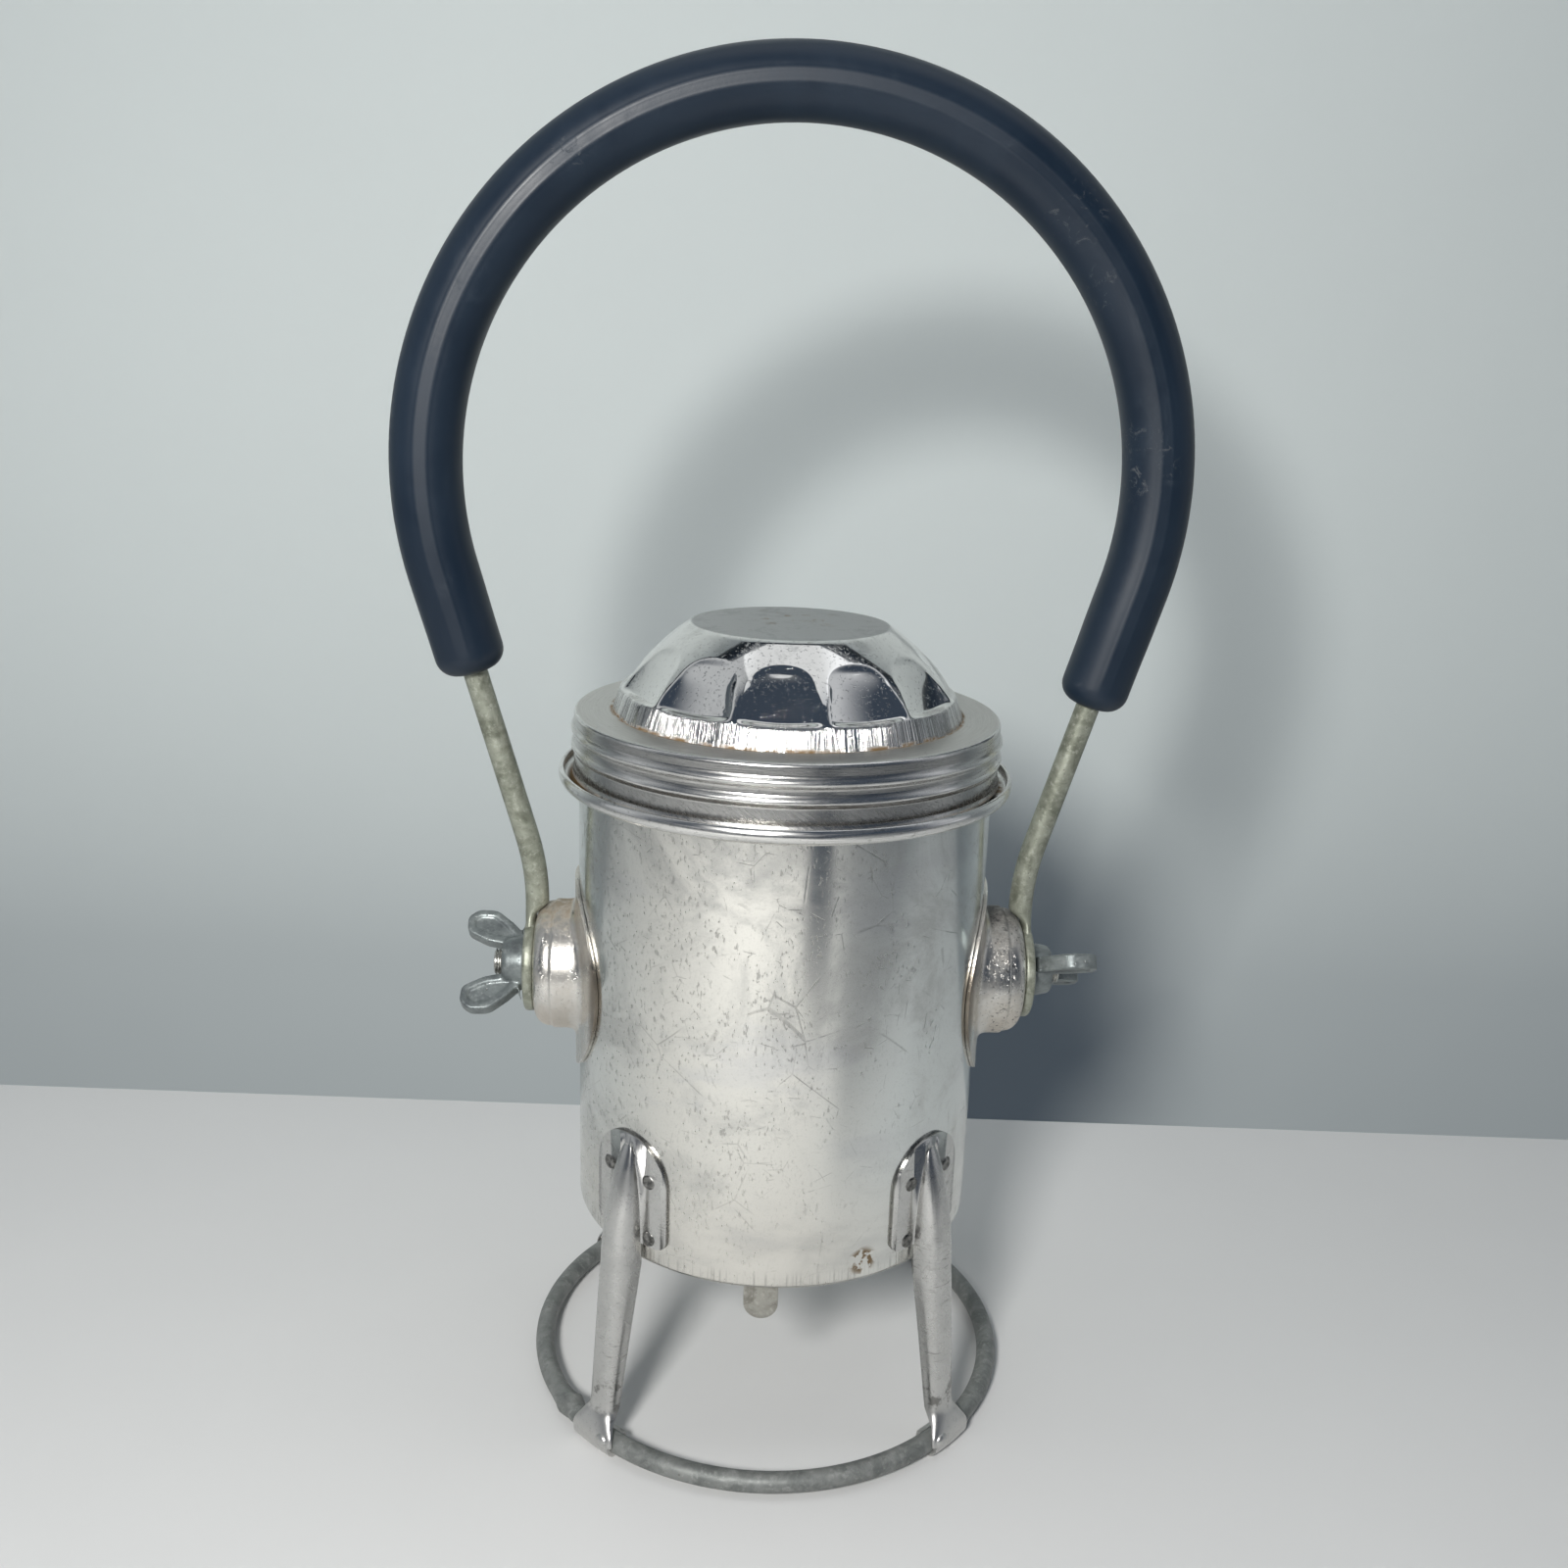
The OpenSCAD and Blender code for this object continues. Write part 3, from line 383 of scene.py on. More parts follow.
class Weave:
    """Short words for the nodes that a finish is made of."""

    def __init__(self, tree, where):
        self.tree = tree
        self.here = tree.nodes.new("ShaderNodeTexCoord").outputs[where]

    def feed(self, socket, value):
        if isinstance(value, bpy.types.NodeSocket):
            self.tree.links.new(value, socket)
        elif socket.type == "RGBA":
            socket.default_value = (*value, 1.0)
        else:
            socket.default_value = value

    def add(self, kind, inputs, out=0, **settings):
        node = self.tree.nodes.new(kind)
        for key, value in settings.items():
            setattr(node, key, value)
        for key, value in inputs.items():
            self.feed(node.inputs[key], value)
        return node.outputs[out]

    def sum(self, kind, *values):
        return self.add("ShaderNodeMath", dict(enumerate(values)), operation=kind)

    def times(self, *values):
        return reduce(lambda a, b: self.sum("MULTIPLY", a, b), values)

    def plus(self, *values):
        return reduce(lambda a, b: self.sum("ADD", a, b), values)

    def most(self, *values):
        return reduce(lambda a, b: self.sum("MAXIMUM", a, b), values)

    def moved(self, scale=(1, 1, 1), turn=(0, 0, 0), shift=(0, 0, 0), vector=None):
        turn = tuple(math.radians(a) for a in turn)
        return self.add("ShaderNodeMapping", {"Vector": vector or self.here, "Scale": scale,
                                              "Rotation": turn, "Location": shift})

    def mottle(self, scale, detail=4.0, rough=0.55, vector=None, warp=0.0):
        return self.add("ShaderNodeTexNoise", {"Vector": vector or self.here, "Scale": scale,
                                               "Detail": detail, "Roughness": rough,
                                               "Distortion": warp})

    def span(self, value, low, high, start=0.0, end=1.0):
        return self.add("ShaderNodeMapRange", {0: value, 1: low, 2: high, 3: start, 4: end},
                        interpolation_type="SMOOTHSTEP")

    def mixed(self, factor, a, b):
        return self.add("ShaderNodeMix", {0: factor, 6: a, 7: b}, out=2, data_type="RGBA")

    def specks(self, scale, detail, rough, low, high, vector=None):
        """Noise cut to specks: 0 up to the low value and 1 from the high one."""
        return self.span(self.mottle(scale, detail, rough, vector), low, high)

    def coats(self, base, *coats):
        """Colours laid over a base, each as (where, strength, colour)."""
        for where, strength, colour in coats:
            shown = where if strength == 1.0 else self.times(where, strength)
            base = self.mixed(shown, base, colour)
        return base

    def level(self):
        """Heights and distances of the surface: X, Y, Z and the radius about the axis."""
        part = self.tree.nodes.new("ShaderNodeSeparateXYZ")
        self.tree.links.new(self.here, part.inputs[0])
        x, y, z = part.outputs
        return x, y, z, self.sum("SQRT", self.plus(self.times(x, x), self.times(y, y)))

    def round_coords(self, around, up, out=0.0, slant=0.0):
        """Coordinates that wrap the axis: so many units a radian, a metre up and a metre out."""
        x, y, z, radius = self.level()
        safe = self.most(radius, 1e-5)
        cx = self.plus(self.times(self.sum("DIVIDE", x, safe), around), self.times(z, slant))
        cy = self.times(self.sum("DIVIDE", y, safe), around)
        cz = self.plus(self.times(z, up), self.times(radius, out))
        return self.add("ShaderNodeCombineXYZ", {0: cx, 1: cy, 2: cz})

    def near(self, point, inner, outer):
        """1 near a point and 0 past the outer distance, both in metres."""
        gap = self.add("ShaderNodeVectorMath", {0: self.here, 1: point}, out="Value",
                       operation="DISTANCE")
        return self.span(gap, inner, outer, 1.0, 0.0)


class Finish(Weave):
    """One finish, built up on the node tree of its own material."""

    def __init__(self, name, **sockets):
        self.material = bpy.data.materials.new(name)
        self.material.use_nodes = True
        super().__init__(self.material.node_tree, "Object")
        self.shader = self.tree.nodes["Principled BSDF"]
        self.set(**sockets)

    def set(self, **sockets):
        names = {socket.name.lower(): socket for socket in self.shader.inputs}
        for key, value in sockets.items():
            self.feed(names[key.replace("_", " ")], value)

    def relief(self, height, strength, distance, under=None):
        inputs = {"Height": height, "Strength": strength, "Distance": distance}
        if under:
            inputs["Normal"] = under
        self.feed(self.shader.inputs["Normal"], self.add("ShaderNodeBump", inputs))
        return self.shader.inputs["Normal"].links[0].from_socket

    def done(self, base, rough, height, strength, distance, under=None, **sockets):
        """Sets colour, gloss and relief, and gives the material."""
        self.set(base_color=base, roughness=rough, **sockets)
        self.relief(height, strength, distance, under)
        return self.material


def scratches(f, sizes, thin):
    """Thin straight scratches lying all ways, 0 to 1."""
    lines = []
    for count, scale in enumerate(sizes):
        bent = f.moved((1, 1, 1), (25 * count, 40 * count, 15), (0.3 * count, 0, 0.1))
        line = f.add("ShaderNodeTexVoronoi", {"Vector": bent, "Scale": scale},
                     feature="DISTANCE_TO_EDGE")
        lines.append(f.times(f.span(line, thin, thin * 0.25),
                             f.specks(scale * 1.3, 3, 0.6, 0.56, 0.64, bent)))
    return f.most(*lines)


def body_finish(c):
    """Bright nickel, pitted most at the left, with scratches and one flake of lost plate."""
    f = Finish("body_nickel", metallic=1.0)
    x, _, z, _ = f.level()
    clouds = f.mottle(38, 7, 0.68, warp=0.8)
    smear = f.mottle(1, 5, 0.6, f.moved((26, 26, 70), (10, 35, 0)))
    dense = f.span(f.plus(f.mottle(75, 6, 0.75), f.times(f.span(x, 0.035, -0.03), 0.14)), 0.5, 0.68)
    speck = f.times(f.specks(1, 2, 0.5, 0.57, 0.68, f.moved((1500, 900, 620), (0, 18, 0))), dense)
    hair = scratches(f, (60, 110, 170), 0.016)
    deep = scratches(f, (44,), 0.008)
    crimp = f.times(f.span(z, 0.0525, 0.0502),
                    f.specks(1, 3, 0.6, 0.5, 0.66, f.round_coords(70, 40)))
    flake = f.times(f.near((0.0192, -0.0452, 0.0528), 0.0022, 0.0042),
                    f.specks(420, 4, 0.6, 0.47, 0.53))
    warm = f.mixed(f.span(f.sum("ABSOLUTE", f.plus(x, 0.012)), 0.012, 0.042),
                   (0.79, 0.775, 0.725), (0.76, 0.79, 0.775))
    low = f.mixed(f.span(smear, 0.42, 0.62), (0.8, 0.77, 0.71), (0.6, 0.58, 0.54))
    base = f.coats(warm, (f.span(clouds, 0.42, 0.66), 0.62, c.worn_nickel),
                   (f.span(smear, 0.5, 0.7), 0.45, (0.6, 0.605, 0.62)),
                   (f.specks(2300, 3, 0.7, 0.55, 0.7), 0.2, c.pits_and_shade), (speck, 0.38, c.pits_and_shade),
                   (hair, 0.26, c.pits_and_shade), (deep, 0.35, c.pits_and_shade),
                   (f.span(z, 0.085, 0.055), 0.5, low),
                   (f.most(f.span(z, 0.0491, 0.0479), crimp), 0.34, c.pits_and_shade),
                   (flake, 0.9, c.grime))
    rough = f.plus(f.span(clouds, 0.35, 0.7, 0.12, 0.27), f.times(speck, 0.2),
                   f.times(hair, 0.1), f.times(flake, 0.3))
    waves = f.relief(f.mottle(11, 2, 0.4), 0.5, 0.0012)
    dents = f.times(f.plus(speck, hair, f.times(deep, 1.5)), -1.0)
    return f.done(base, rough, dents, 0.3, 0.00004, waves)


def collar_finish(c):
    """Rolled nickel with brown dirt in its trough, thickest at the left."""
    f = Finish("collar_nickel", metallic=1.0)
    x, _, z, radius = f.level()
    trough = f.times(f.span(radius, 0.0522, 0.0508), f.span(z, 0.1552, 0.1556))
    patchy = f.plus(f.mottle(260, 5, 0.7), f.span(x, 0.0, -0.045, 0.0, 0.2))
    dirt = f.times(trough, f.span(patchy, 0.38, 0.58))
    lines = f.mottle(1, 3, 0.5, f.round_coords(5, 4200, 4200))
    base = f.coats(c.nickel, (f.span(lines, 0.35, 0.7), 0.55, c.worn_nickel),
                   (f.specks(900, 3, 0.6, 0.58, 0.7), 0.4, c.pits_and_shade), (dirt, 1.0, c.grime))
    rough = f.plus(f.span(lines, 0.3, 0.7, 0.16, 0.3), f.times(dirt, 0.5))
    return f.done(base, rough, f.plus(lines, f.times(dirt, 1.5)), 0.25, 0.0001,
                  metallic=f.span(dirt, 0, 1, 1.0, 0.15))


def cap_finish(c):
    """Turned nickel: rings on the flat, slanted brushing on the skirt, dirt at the seams, and painted
    shade on the skirt, in the grooves and inside.
    """
    f = Finish("cap_nickel", metallic=1.0)
    _, _, z, radius = f.level()
    flat = f.times(f.span(z, 0.1716, 0.1719), f.span(radius, 0.0498, 0.0492))
    rings = f.mottle(1, 4, 0.65, f.round_coords(4, 0, 5200))
    slant = f.mottle(1, 4, 0.7, f.round_coords(60, 420, 0, slant=1500))
    drawn = f.mottle(1, 3, 0.6, f.round_coords(7, 3600, 0))
    skirt = f.times(f.span(z, 0.1625, 0.1612), f.span(z, 0.1575, 0.1585))
    brush = f.add("ShaderNodeMix", {0: skirt, 2: drawn, 3: slant})
    brush = f.add("ShaderNodeMix", {0: flat, 2: brush, 3: rings})
    # Painted shade: the skirt, the grooves between the beads and the cap's inside, all sunk below the
    # beads and the flat, are darkened evenly
    painted_recess_shade = f.times(f.span(radius, 0.0506, 0.0502), f.span(z, 0.1716, 0.171))
    seam = f.times(flat, f.span(radius, 0.0421, 0.0414))
    hem = f.times(f.span(z, 0.1583, 0.1573), 0.85)
    dirt = f.times(f.most(seam, hem), f.specks(330, 5, 0.7, 0.36, 0.58))
    worn_flat = f.mixed(f.span(rings, 0.35, 0.65), (0.36, 0.35, 0.32), (0.6, 0.59, 0.56))
    base = f.coats(c.nickel, (f.span(brush, 0.3, 0.72, 0.1, 0.7), 1.0, c.worn_nickel),
                   (flat, 0.7, worn_flat), (painted_recess_shade, 0.35, c.pits_and_shade),
                   (f.specks(1100, 3, 0.65, 0.6, 0.72), 0.35, c.pits_and_shade), (dirt, 1.0, c.grime))
    rough = f.plus(f.span(flat, 0, 1, 0.19, 0.31), f.span(brush, 0.3, 0.7, 0.0, 0.12),
                   f.times(dirt, 0.4))
    return f.done(base, rough, f.plus(brush, f.times(dirt, 2.0)), 0.3, 0.00009,
                  metallic=f.span(dirt, 0, 1, 1.0, 0.2))


def dome_finish(c):
    """Mirror nickel with a machined band below the flutes and a dull speckled disc on top."""
    f = Finish("dome_nickel", metallic=1.0)
    _, _, z, radius = f.level()
    band = f.span(z, 0.17735, 0.1769)
    disc = f.times(f.span(radius, 0.0236, 0.0228), f.span(z, 0.1921, 0.1925))
    scored = f.times(band, f.specks(1, 2, 0.55, 0.4, 0.6, f.round_coords(150, 25, 0)),
                     f.specks(1, 2, 0.5, 0.42, 0.58, f.round_coords(520, 60, 0)))
    dull = f.times(f.span(f.mottle(120, 6, 0.7, warp=0.8), 0.48, 0.64),
                   f.span(f.span(z, 0.1865, 0.1905), 0, 1, 0.35, 1.0))
    grit = f.specks(1300, 3, 0.7, 0.59, 0.68)
    rust = f.times(f.specks(240, 5, 0.6, 0.57, 0.64), f.near((0.0, 0.006, 0.1927), 0.004, 0.016))
    foot = f.times(f.span(z, 0.1731, 0.1722), f.specks(300, 4, 0.7, 0.35, 0.6))
    base = f.coats(c.nickel, (dull, 0.45, c.worn_nickel), (scored, 0.8, (0.05, 0.053, 0.06)),
                   (disc, 0.8, (0.28, 0.287, 0.292)), (grit, 0.35, c.pits_and_shade),
                   (rust, 0.75, c.grime), (foot, 1.0, c.grime))
    rough = f.plus(f.span(dull, 0, 1, 0.05, 0.15), f.times(disc, 0.3), f.times(band, 0.12),
                   f.times(foot, 0.4))
    height = f.sum("SUBTRACT", f.times(scored, -1.0), f.times(grit, 0.2))
    return f.done(base, rough, height, 0.5, 0.00012, metallic=f.span(foot, 0, 1, 1.0, 0.25))


def bracket_finish(c, side):
    """Dull plate with a bright worn face, stained on the left boss and sooty on the right."""
    word, start, pitted, smoke = (("left", 0.1245, 0.28, c.stain) if side < 0
                                  else ("right", 0.121, 0.5, c.soot))
    f = Finish("bracket_plate_" + word, metallic=1.0)
    x, y, z, _ = f.level()
    away = f.sum("ABSOLUTE", x)
    clouds = f.mottle(95, 6, 0.65, warp=0.5)
    grit = f.specks(1400, 4, 0.75, 0.56, 0.68)
    boss = f.span(away, 0.0502, 0.0512)
    ragged = f.plus(z, f.times(f.mottle(420, 5, 0.7), 0.014))
    smear = f.times(f.span(ragged, start, 0.1305), boss)
    low = f.times(f.span(z, 0.1035, 0.097), boss)
    rim = f.times(f.span(y, -0.0195, -0.0232), f.span(away, 0.051, 0.05))
    base = f.coats((0.74, 0.72, 0.68), (f.span(clouds, 0.35, 0.7), 1.0, c.bracket),
                   (low, 0.6, (0.66, 0.6, 0.53)), (grit, pitted, c.pits_and_shade),
                   (smear, 0.85, smoke), (rim, 0.75, (0.12, 0.085, 0.05)))
    if side > 0:
        base = f.coats(base, (f.times(f.specks(900, 4, 0.75, 0.56, 0.63), boss), 0.8, c.soot))
    rough = f.plus(f.span(clouds, 0.3, 0.7, 0.24, 0.4), f.times(smear, 0.4), f.times(low, 0.12))
    height = f.plus(f.times(grit, -1.0), f.times(smear, clouds))
    return f.done(base, rough, height, 0.4, 0.00012, metallic=f.span(smear, 0, 1, 1.0, 0.3))


def leg_finish(c):
    """Pressed nickel sheet, clouded, with a few tool marks and dark joints at the plate."""
    f = Finish("leg_nickel", metallic=1.0)
    _, _, z, radius = f.level()
    marks = f.times(f.specks(1, 2, 0.5, 0.58, 0.68, f.moved((260, 260, 1900), (0, 8, 0))),
                    f.specks(90, 3, 0.55, 0.5, 0.62))
    clouds = f.mottle(110, 6, 0.68, warp=0.5)
    grit = f.specks(1700, 3, 0.7, 0.57, 0.7)
    hair = scratches(f, (140,), 0.02)
    joint = f.times(f.span(radius, 0.0499, 0.0495), 0.8)
    foot = f.times(f.span(z, 0.021, 0.015), f.span(z, 0.0085, 0.0125),
                   f.specks(260, 4, 0.6, 0.5, 0.6))
    base = f.coats((0.6, 0.595, 0.58), (f.span(clouds, 0.38, 0.66), 0.5, c.worn_nickel),
                   (f.most(marks, f.times(hair, 0.4)), 0.5, c.pits_and_shade), (grit, 0.3, c.pits_and_shade),
                   (f.most(joint, foot), 0.75, c.pits_and_shade))
    rough = f.plus(f.span(clouds, 0.3, 0.7, 0.22, 0.32), f.times(f.span(z, 0.016, 0.01), 0.1))
    return f.done(base, rough, f.plus(marks, grit, hair), 0.25, -0.00003)


def zinc_finish(name, colour, dark, light, c, shine=0.38, scale=1.0, metallic=0.85):
    """Weathered zinc: soft mottle, pale bloom, small pits and a dull shine."""
    f = Finish(name, metallic=metallic)
    clouds = f.mottle(170 * scale, 6, 0.7, warp=0.4)
    bloom = f.mottle(620 * scale, 5, 0.7)
    cells = f.add("ShaderNodeTexVoronoi", {"Vector": f.here, "Scale": 520 * scale})
    pits = f.times(f.span(cells, 0.16, 0.04), f.span(clouds, 0.42, 0.6))
    base = f.coats(dark, (f.span(clouds, 0.32, 0.62), 1.0, colour),
                   (f.span(bloom, 0.5, 0.7), 0.7, light), (pits, 0.8, c.pits_and_shade))
    height = f.sum("SUBTRACT", f.plus(clouds, f.times(bloom, 0.35)), pits)
    return f.done(base, f.span(bloom, 0.3, 0.7, shine - 0.06, shine + 0.16), height, 0.45, 0.00022)


def rubber_finish(c):
    """Blue-black rubber, satin from handling, with chalky scuffs and fine wear."""
    f = Finish("grip_rubber", specular_ior_level=0.42)
    clouds = f.mottle(30, 5, 0.6, warp=0.6)
    spots = f.most(*[f.near(point, size * 0.3, size) for point, size in (
        ((0.0764, -0.006, 0.232), 0.012), ((0.058, -0.007, 0.284), 0.009),
        ((0.0645, -0.007, 0.268), 0.007), ((-0.05, -0.006, 0.291), 0.006))])
    scuff = f.times(f.span(f.mottle(330, 6, 0.75, warp=1.5), 0.55, 0.68), spots)
    wear = f.times(f.span(f.mottle(65, 7, 0.72, warp=1.2), 0.56, 0.76), 0.35)
    base = f.coats(c.rubber, (f.span(clouds, 0.35, 0.7), 1.0, (0.0085, 0.019, 0.035)),
                   (wear, 1.0, (0.021, 0.035, 0.053)), (scuff, 0.85, c.scuff))
    rough = f.plus(f.span(clouds, 0.3, 0.7, 0.36, 0.5), f.times(wear, 0.4), f.times(scuff, 0.3))
    height = f.plus(f.times(f.mottle(900, 4, 0.7), 0.5), f.times(scuff, 0.8))
    return f.done(base, rough, height, 0.3, 0.0001)


def plain_finish(name, colour, tint, metallic, low, high, scale=180, depth=0.00008):
    """Two close tones clouded together with matching gloss and a fine tooth."""
    f = Finish(name, metallic=metallic)
    clouds = f.mottle(scale, 5, 0.65, warp=0.3)
    tooth = f.mottle(scale * 8, 3, 0.6)
    rough = f.span(f.plus(clouds, f.times(tooth, 0.4)), 0.5, 0.95, low, high)
    return f.done(f.mixed(f.span(clouds, 0.35, 0.68), colour, tint), rough, tooth, 0.35, depth)


def glass_finish():
    """Thin clear glass with the faint cords of blown work."""
    f = Finish("bulb_glass", transmission_weight=1.0, ior=1.45)
    cords = f.mottle(120, 3, 0.5, warp=0.7)
    return f.done((0.96, 0.98, 0.98), f.span(cords, 0.3, 0.7, 0.0, 0.05), cords, 0.12, 0.0001)


def jacket_finish(c):
    """Varnished paper jacket with a fine laid grain, rubbed corners and a dark lid."""
    f = Finish("battery_jacket", coat_weight=0.3, coat_roughness=0.25)
    _, _, z, radius = f.level()
    laid = f.mottle(1, 3, 0.6, f.moved((140, 140, 1700)))
    clouds = f.mottle(55, 5, 0.6)
    corner = f.times(f.span(radius, 0.0425, 0.0436), f.span(clouds, 0.42, 0.62))
    base = f.coats(c.jacket, (f.span(clouds, 0.3, 0.7), 0.6, (0.035, 0.075, 0.045)),
                   (corner, 0.5, (0.3, 0.27, 0.2)),
                   (f.span(z, 0.1695, 0.17), 1.0, (0.03, 0.029, 0.028)))
    return f.done(base, f.span(laid, 0.3, 0.7, 0.38, 0.52), laid, 0.25, 0.00006)


# Operators: one for each piece or group of like pieces


class Piece:
    """What the operators share."""

    bl_options = {"REGISTER", "UNDO"}

    def execute(self, context):
        before = len(bpy.data.objects)
        self.make(in_millimetres(context), context.scene.lantern_colours)
        if len(bpy.data.objects) <= before:
            raise RuntimeError(self.bl_label + " made nothing")
        return {"FINISHED"}


class LANTERN_OT_body(Piece, bpy.types.Operator):
    """Drawn body with its rounded, turned-in lower edge"""

    bl_idname = "lantern.body"
    bl_label = "Body Shell"

    def make(self, s, c):
        r, t, base = s.body_radius, s.sheet, s.body_base
        bend, rows = 1.5, 26
        tall = [base + bend + (s.body_top - base - bend) * i / rows for i in range(rows + 1)]
        outside = arc(r - bend, base + bend, bend, -90, 0, 6) + [(r, z) for z in tall[1:]]
        inside = [(r - t, z) for z in reversed(tall)]
        inside += arc(r - bend, base + bend, bend - t, 0, -90, 6)[1:]
        bm = turned([(r - s.body_lip, base)] + outside + inside + [(r - s.body_lip, base + t)], 192)
        for v in bm.verts:
            if base + 4 < v.co.z < s.body_top - 6:
                out = Vector((v.co.x, v.co.y, 0)).normalized()
                v.co += out * 0.05 * (noise.noise(v.co * 0.03) - 0.4)
        hand_over(bm, "body_shell", "drawn", body_finish(c))


class LANTERN_OT_collar(Piece, bpy.types.Operator):
    """Collar with its rolled outer lip"""

    bl_idname = "lantern.collar"
    bl_label = "Rim Collar"

    def make(self, s, c):
        roll, t = s.collar_roll, s.sheet
        cx, cz = s.collar_radius - roll, s.body_top + roll
        inner = s.body_radius - t
        points = [(inner, s.body_top)] + arc(cx, cz, roll, -90, 40, 18)
        tip = arc(cx, cz, roll - t / 2, 40, 40, 1)[0]
        points += arc(tip[0], tip[1], t / 2, 40, 220, 6)[1:-1]
        points += arc(cx, cz, roll - t, 40, -90, 14) + [(inner, s.body_top + t)]
        hand_over(turned(points, 192), "rim_collar", "rolled", collar_finish(c))


class LANTERN_OT_cap(Piece, bpy.types.Operator):
    """Screw cap with two rolled beads, a flared hem and an open flat top"""

    bl_idname = "lantern.cap"
    bl_label = "Screw Cap"

    def make(self, s, c):
        t, top = s.sheet, s.cap_top
        crest = top - 4.3
        # Level, height and half width of the flared hem and of the two beads
        swells = ((s.cap_foot, 0.5, 1.6), (crest, s.bead, 1.68), (crest - 4.0, s.bead, 1.68))

        def skin(z):
            return s.cap_root + sum(high * math.cos(math.pi / 2 * (z - level) / half) ** 2
                                    for level, high, half in swells if abs(z - level) < half)

        rows = [s.cap_foot + 0.25 + (top - 1.25 - s.cap_foot) * i / 96 for i in range(97)]
        outside = [(skin(z), z) for z in rows]
        corner = arc(s.cap_root - 1.0, top - 1, 1.0, 0, 90, 6)[1:]
        flat = [(s.cap_root - 1 - (s.cap_root - 1 - s.cap_hole) * i / 8, top) for i in range(1, 9)]
        under = [(s.cap_hole, top - t), (s.cap_root - t - 0.1, top - t)]
        inside = [(r - t, z) for r, z in reversed(outside[:-1])]
        hem = [(outside[0][0] - t * 0.68, s.cap_foot), (outside[0][0] - t * 0.32, s.cap_foot)]
        bm = turned(outside + corner + flat + under + inside + hem, 256)
        for v in bm.verts:
            turn = math.atan2(v.co.x, -v.co.y)
            along = ease(top - 13.0, top - 10.5, v.co.z) * (1 - ease(top - 2.6, top - 1.1, v.co.z))
            v.co.z -= 0.22 * math.sin(turn) * along
        hand_over(bm, "screw_cap", "rolled", cap_finish(c))


class LANTERN_OT_dome(Piece, bpy.types.Operator):
    """Dome with twelve flutes pressed into its shoulder"""

    bl_idname = "lantern.dome"
    bl_label = "Fluted Dome"

    flutes = 12
    first = -5.5  # Degrees from the front to the first flute
    slant = 0.36  # How far the band leans in for each millimetre of its height
    arch = 15.4  # Length of a flute down the shoulder

    def make(self, s, c):
        base, top = s.cap_top, s.dome_top
        band_z = base + s.dome_band
        band_r = s.dome_radius - self.slant * s.dome_band
        p0, p1 = Vector((band_r, band_z)), Vector((band_r - 1.6, band_z + 0.22 * (top - band_z)))
        p3 = Vector((s.disc_radius + 0.6, top - 0.8))
        p2 = p3 + Vector((6.9, -5.2))
        curve = [(1 - u) ** 3 * p0 + 3 * (1 - u) ** 2 * u * p1 + 3 * (1 - u) * u * u * p2
                 + u ** 3 * p3 for u in [i / 58 for i in range(59)]]
        rim = [p3 + (p3 - p2).normalized() * 0.5, Vector((s.disc_radius - 0.5, top - 0.12)),
               Vector((s.disc_radius - 1.4, top))]
        foot = [(s.dome_radius - self.slant * s.dome_band * i / 6, base + s.dome_band * i / 6)
                for i in range(6)]
        disc = [((s.disc_radius - 1.4) * (1 - i / 7), top) for i in range(1, 8)]
        bm = turned(foot + [tuple(p) for p in curve + rim] + disc, 40 * self.flutes, closed=False)
        face_up(bm)
        drops = {round(point.y, 2): self.arch - way for point, way in zip(curve, walked(curve))}
        pressed = [(v, v.normal * -self.depth(s, v.co, drops)) for v in bm.verts]
        for v, push in pressed:
            v.co += push
        shell = worked(bm, ("SOLIDIFY", {"thickness": s.sheet, "offset": -1.0}))
        hand_over(shell, "cap_dome", "pressed", dome_finish(c), 50)

    def depth(self, s, co, drops):
        """How deep a flute is pressed at a point: drop is its distance from the flute's top."""
        radius = math.hypot(co.x, co.y)
        drop = drops.get(round(co.z, 2), 0.0)
        if drop <= 0:
            return 0.0
        pitch = 2 * math.pi / self.flutes
        turn = math.atan2(co.x, -co.y) - math.radians(self.first)
        across = abs((turn + pitch / 2) % pitch - pitch / 2) * radius
        half = 7.3 * math.sqrt(max(1 - (1 - min(drop, 6.0) / 6.0) ** 2, 0.0))
        half = min(half + 2.6 * ease(4.0, self.arch, drop), pitch * radius / 2 - 0.5)
        if half <= 0.05 or across >= half:
            return 0.0
        deep = s.flute_depth * (0.3 * ease(-0.3, 1.8, drop) + 0.7 * ease(0, 14, drop))
        deep *= 1 - ease(self.arch - 1.7, self.arch + 0.1, drop)
        return deep * (1 - (across / half) ** 2) ** 0.85


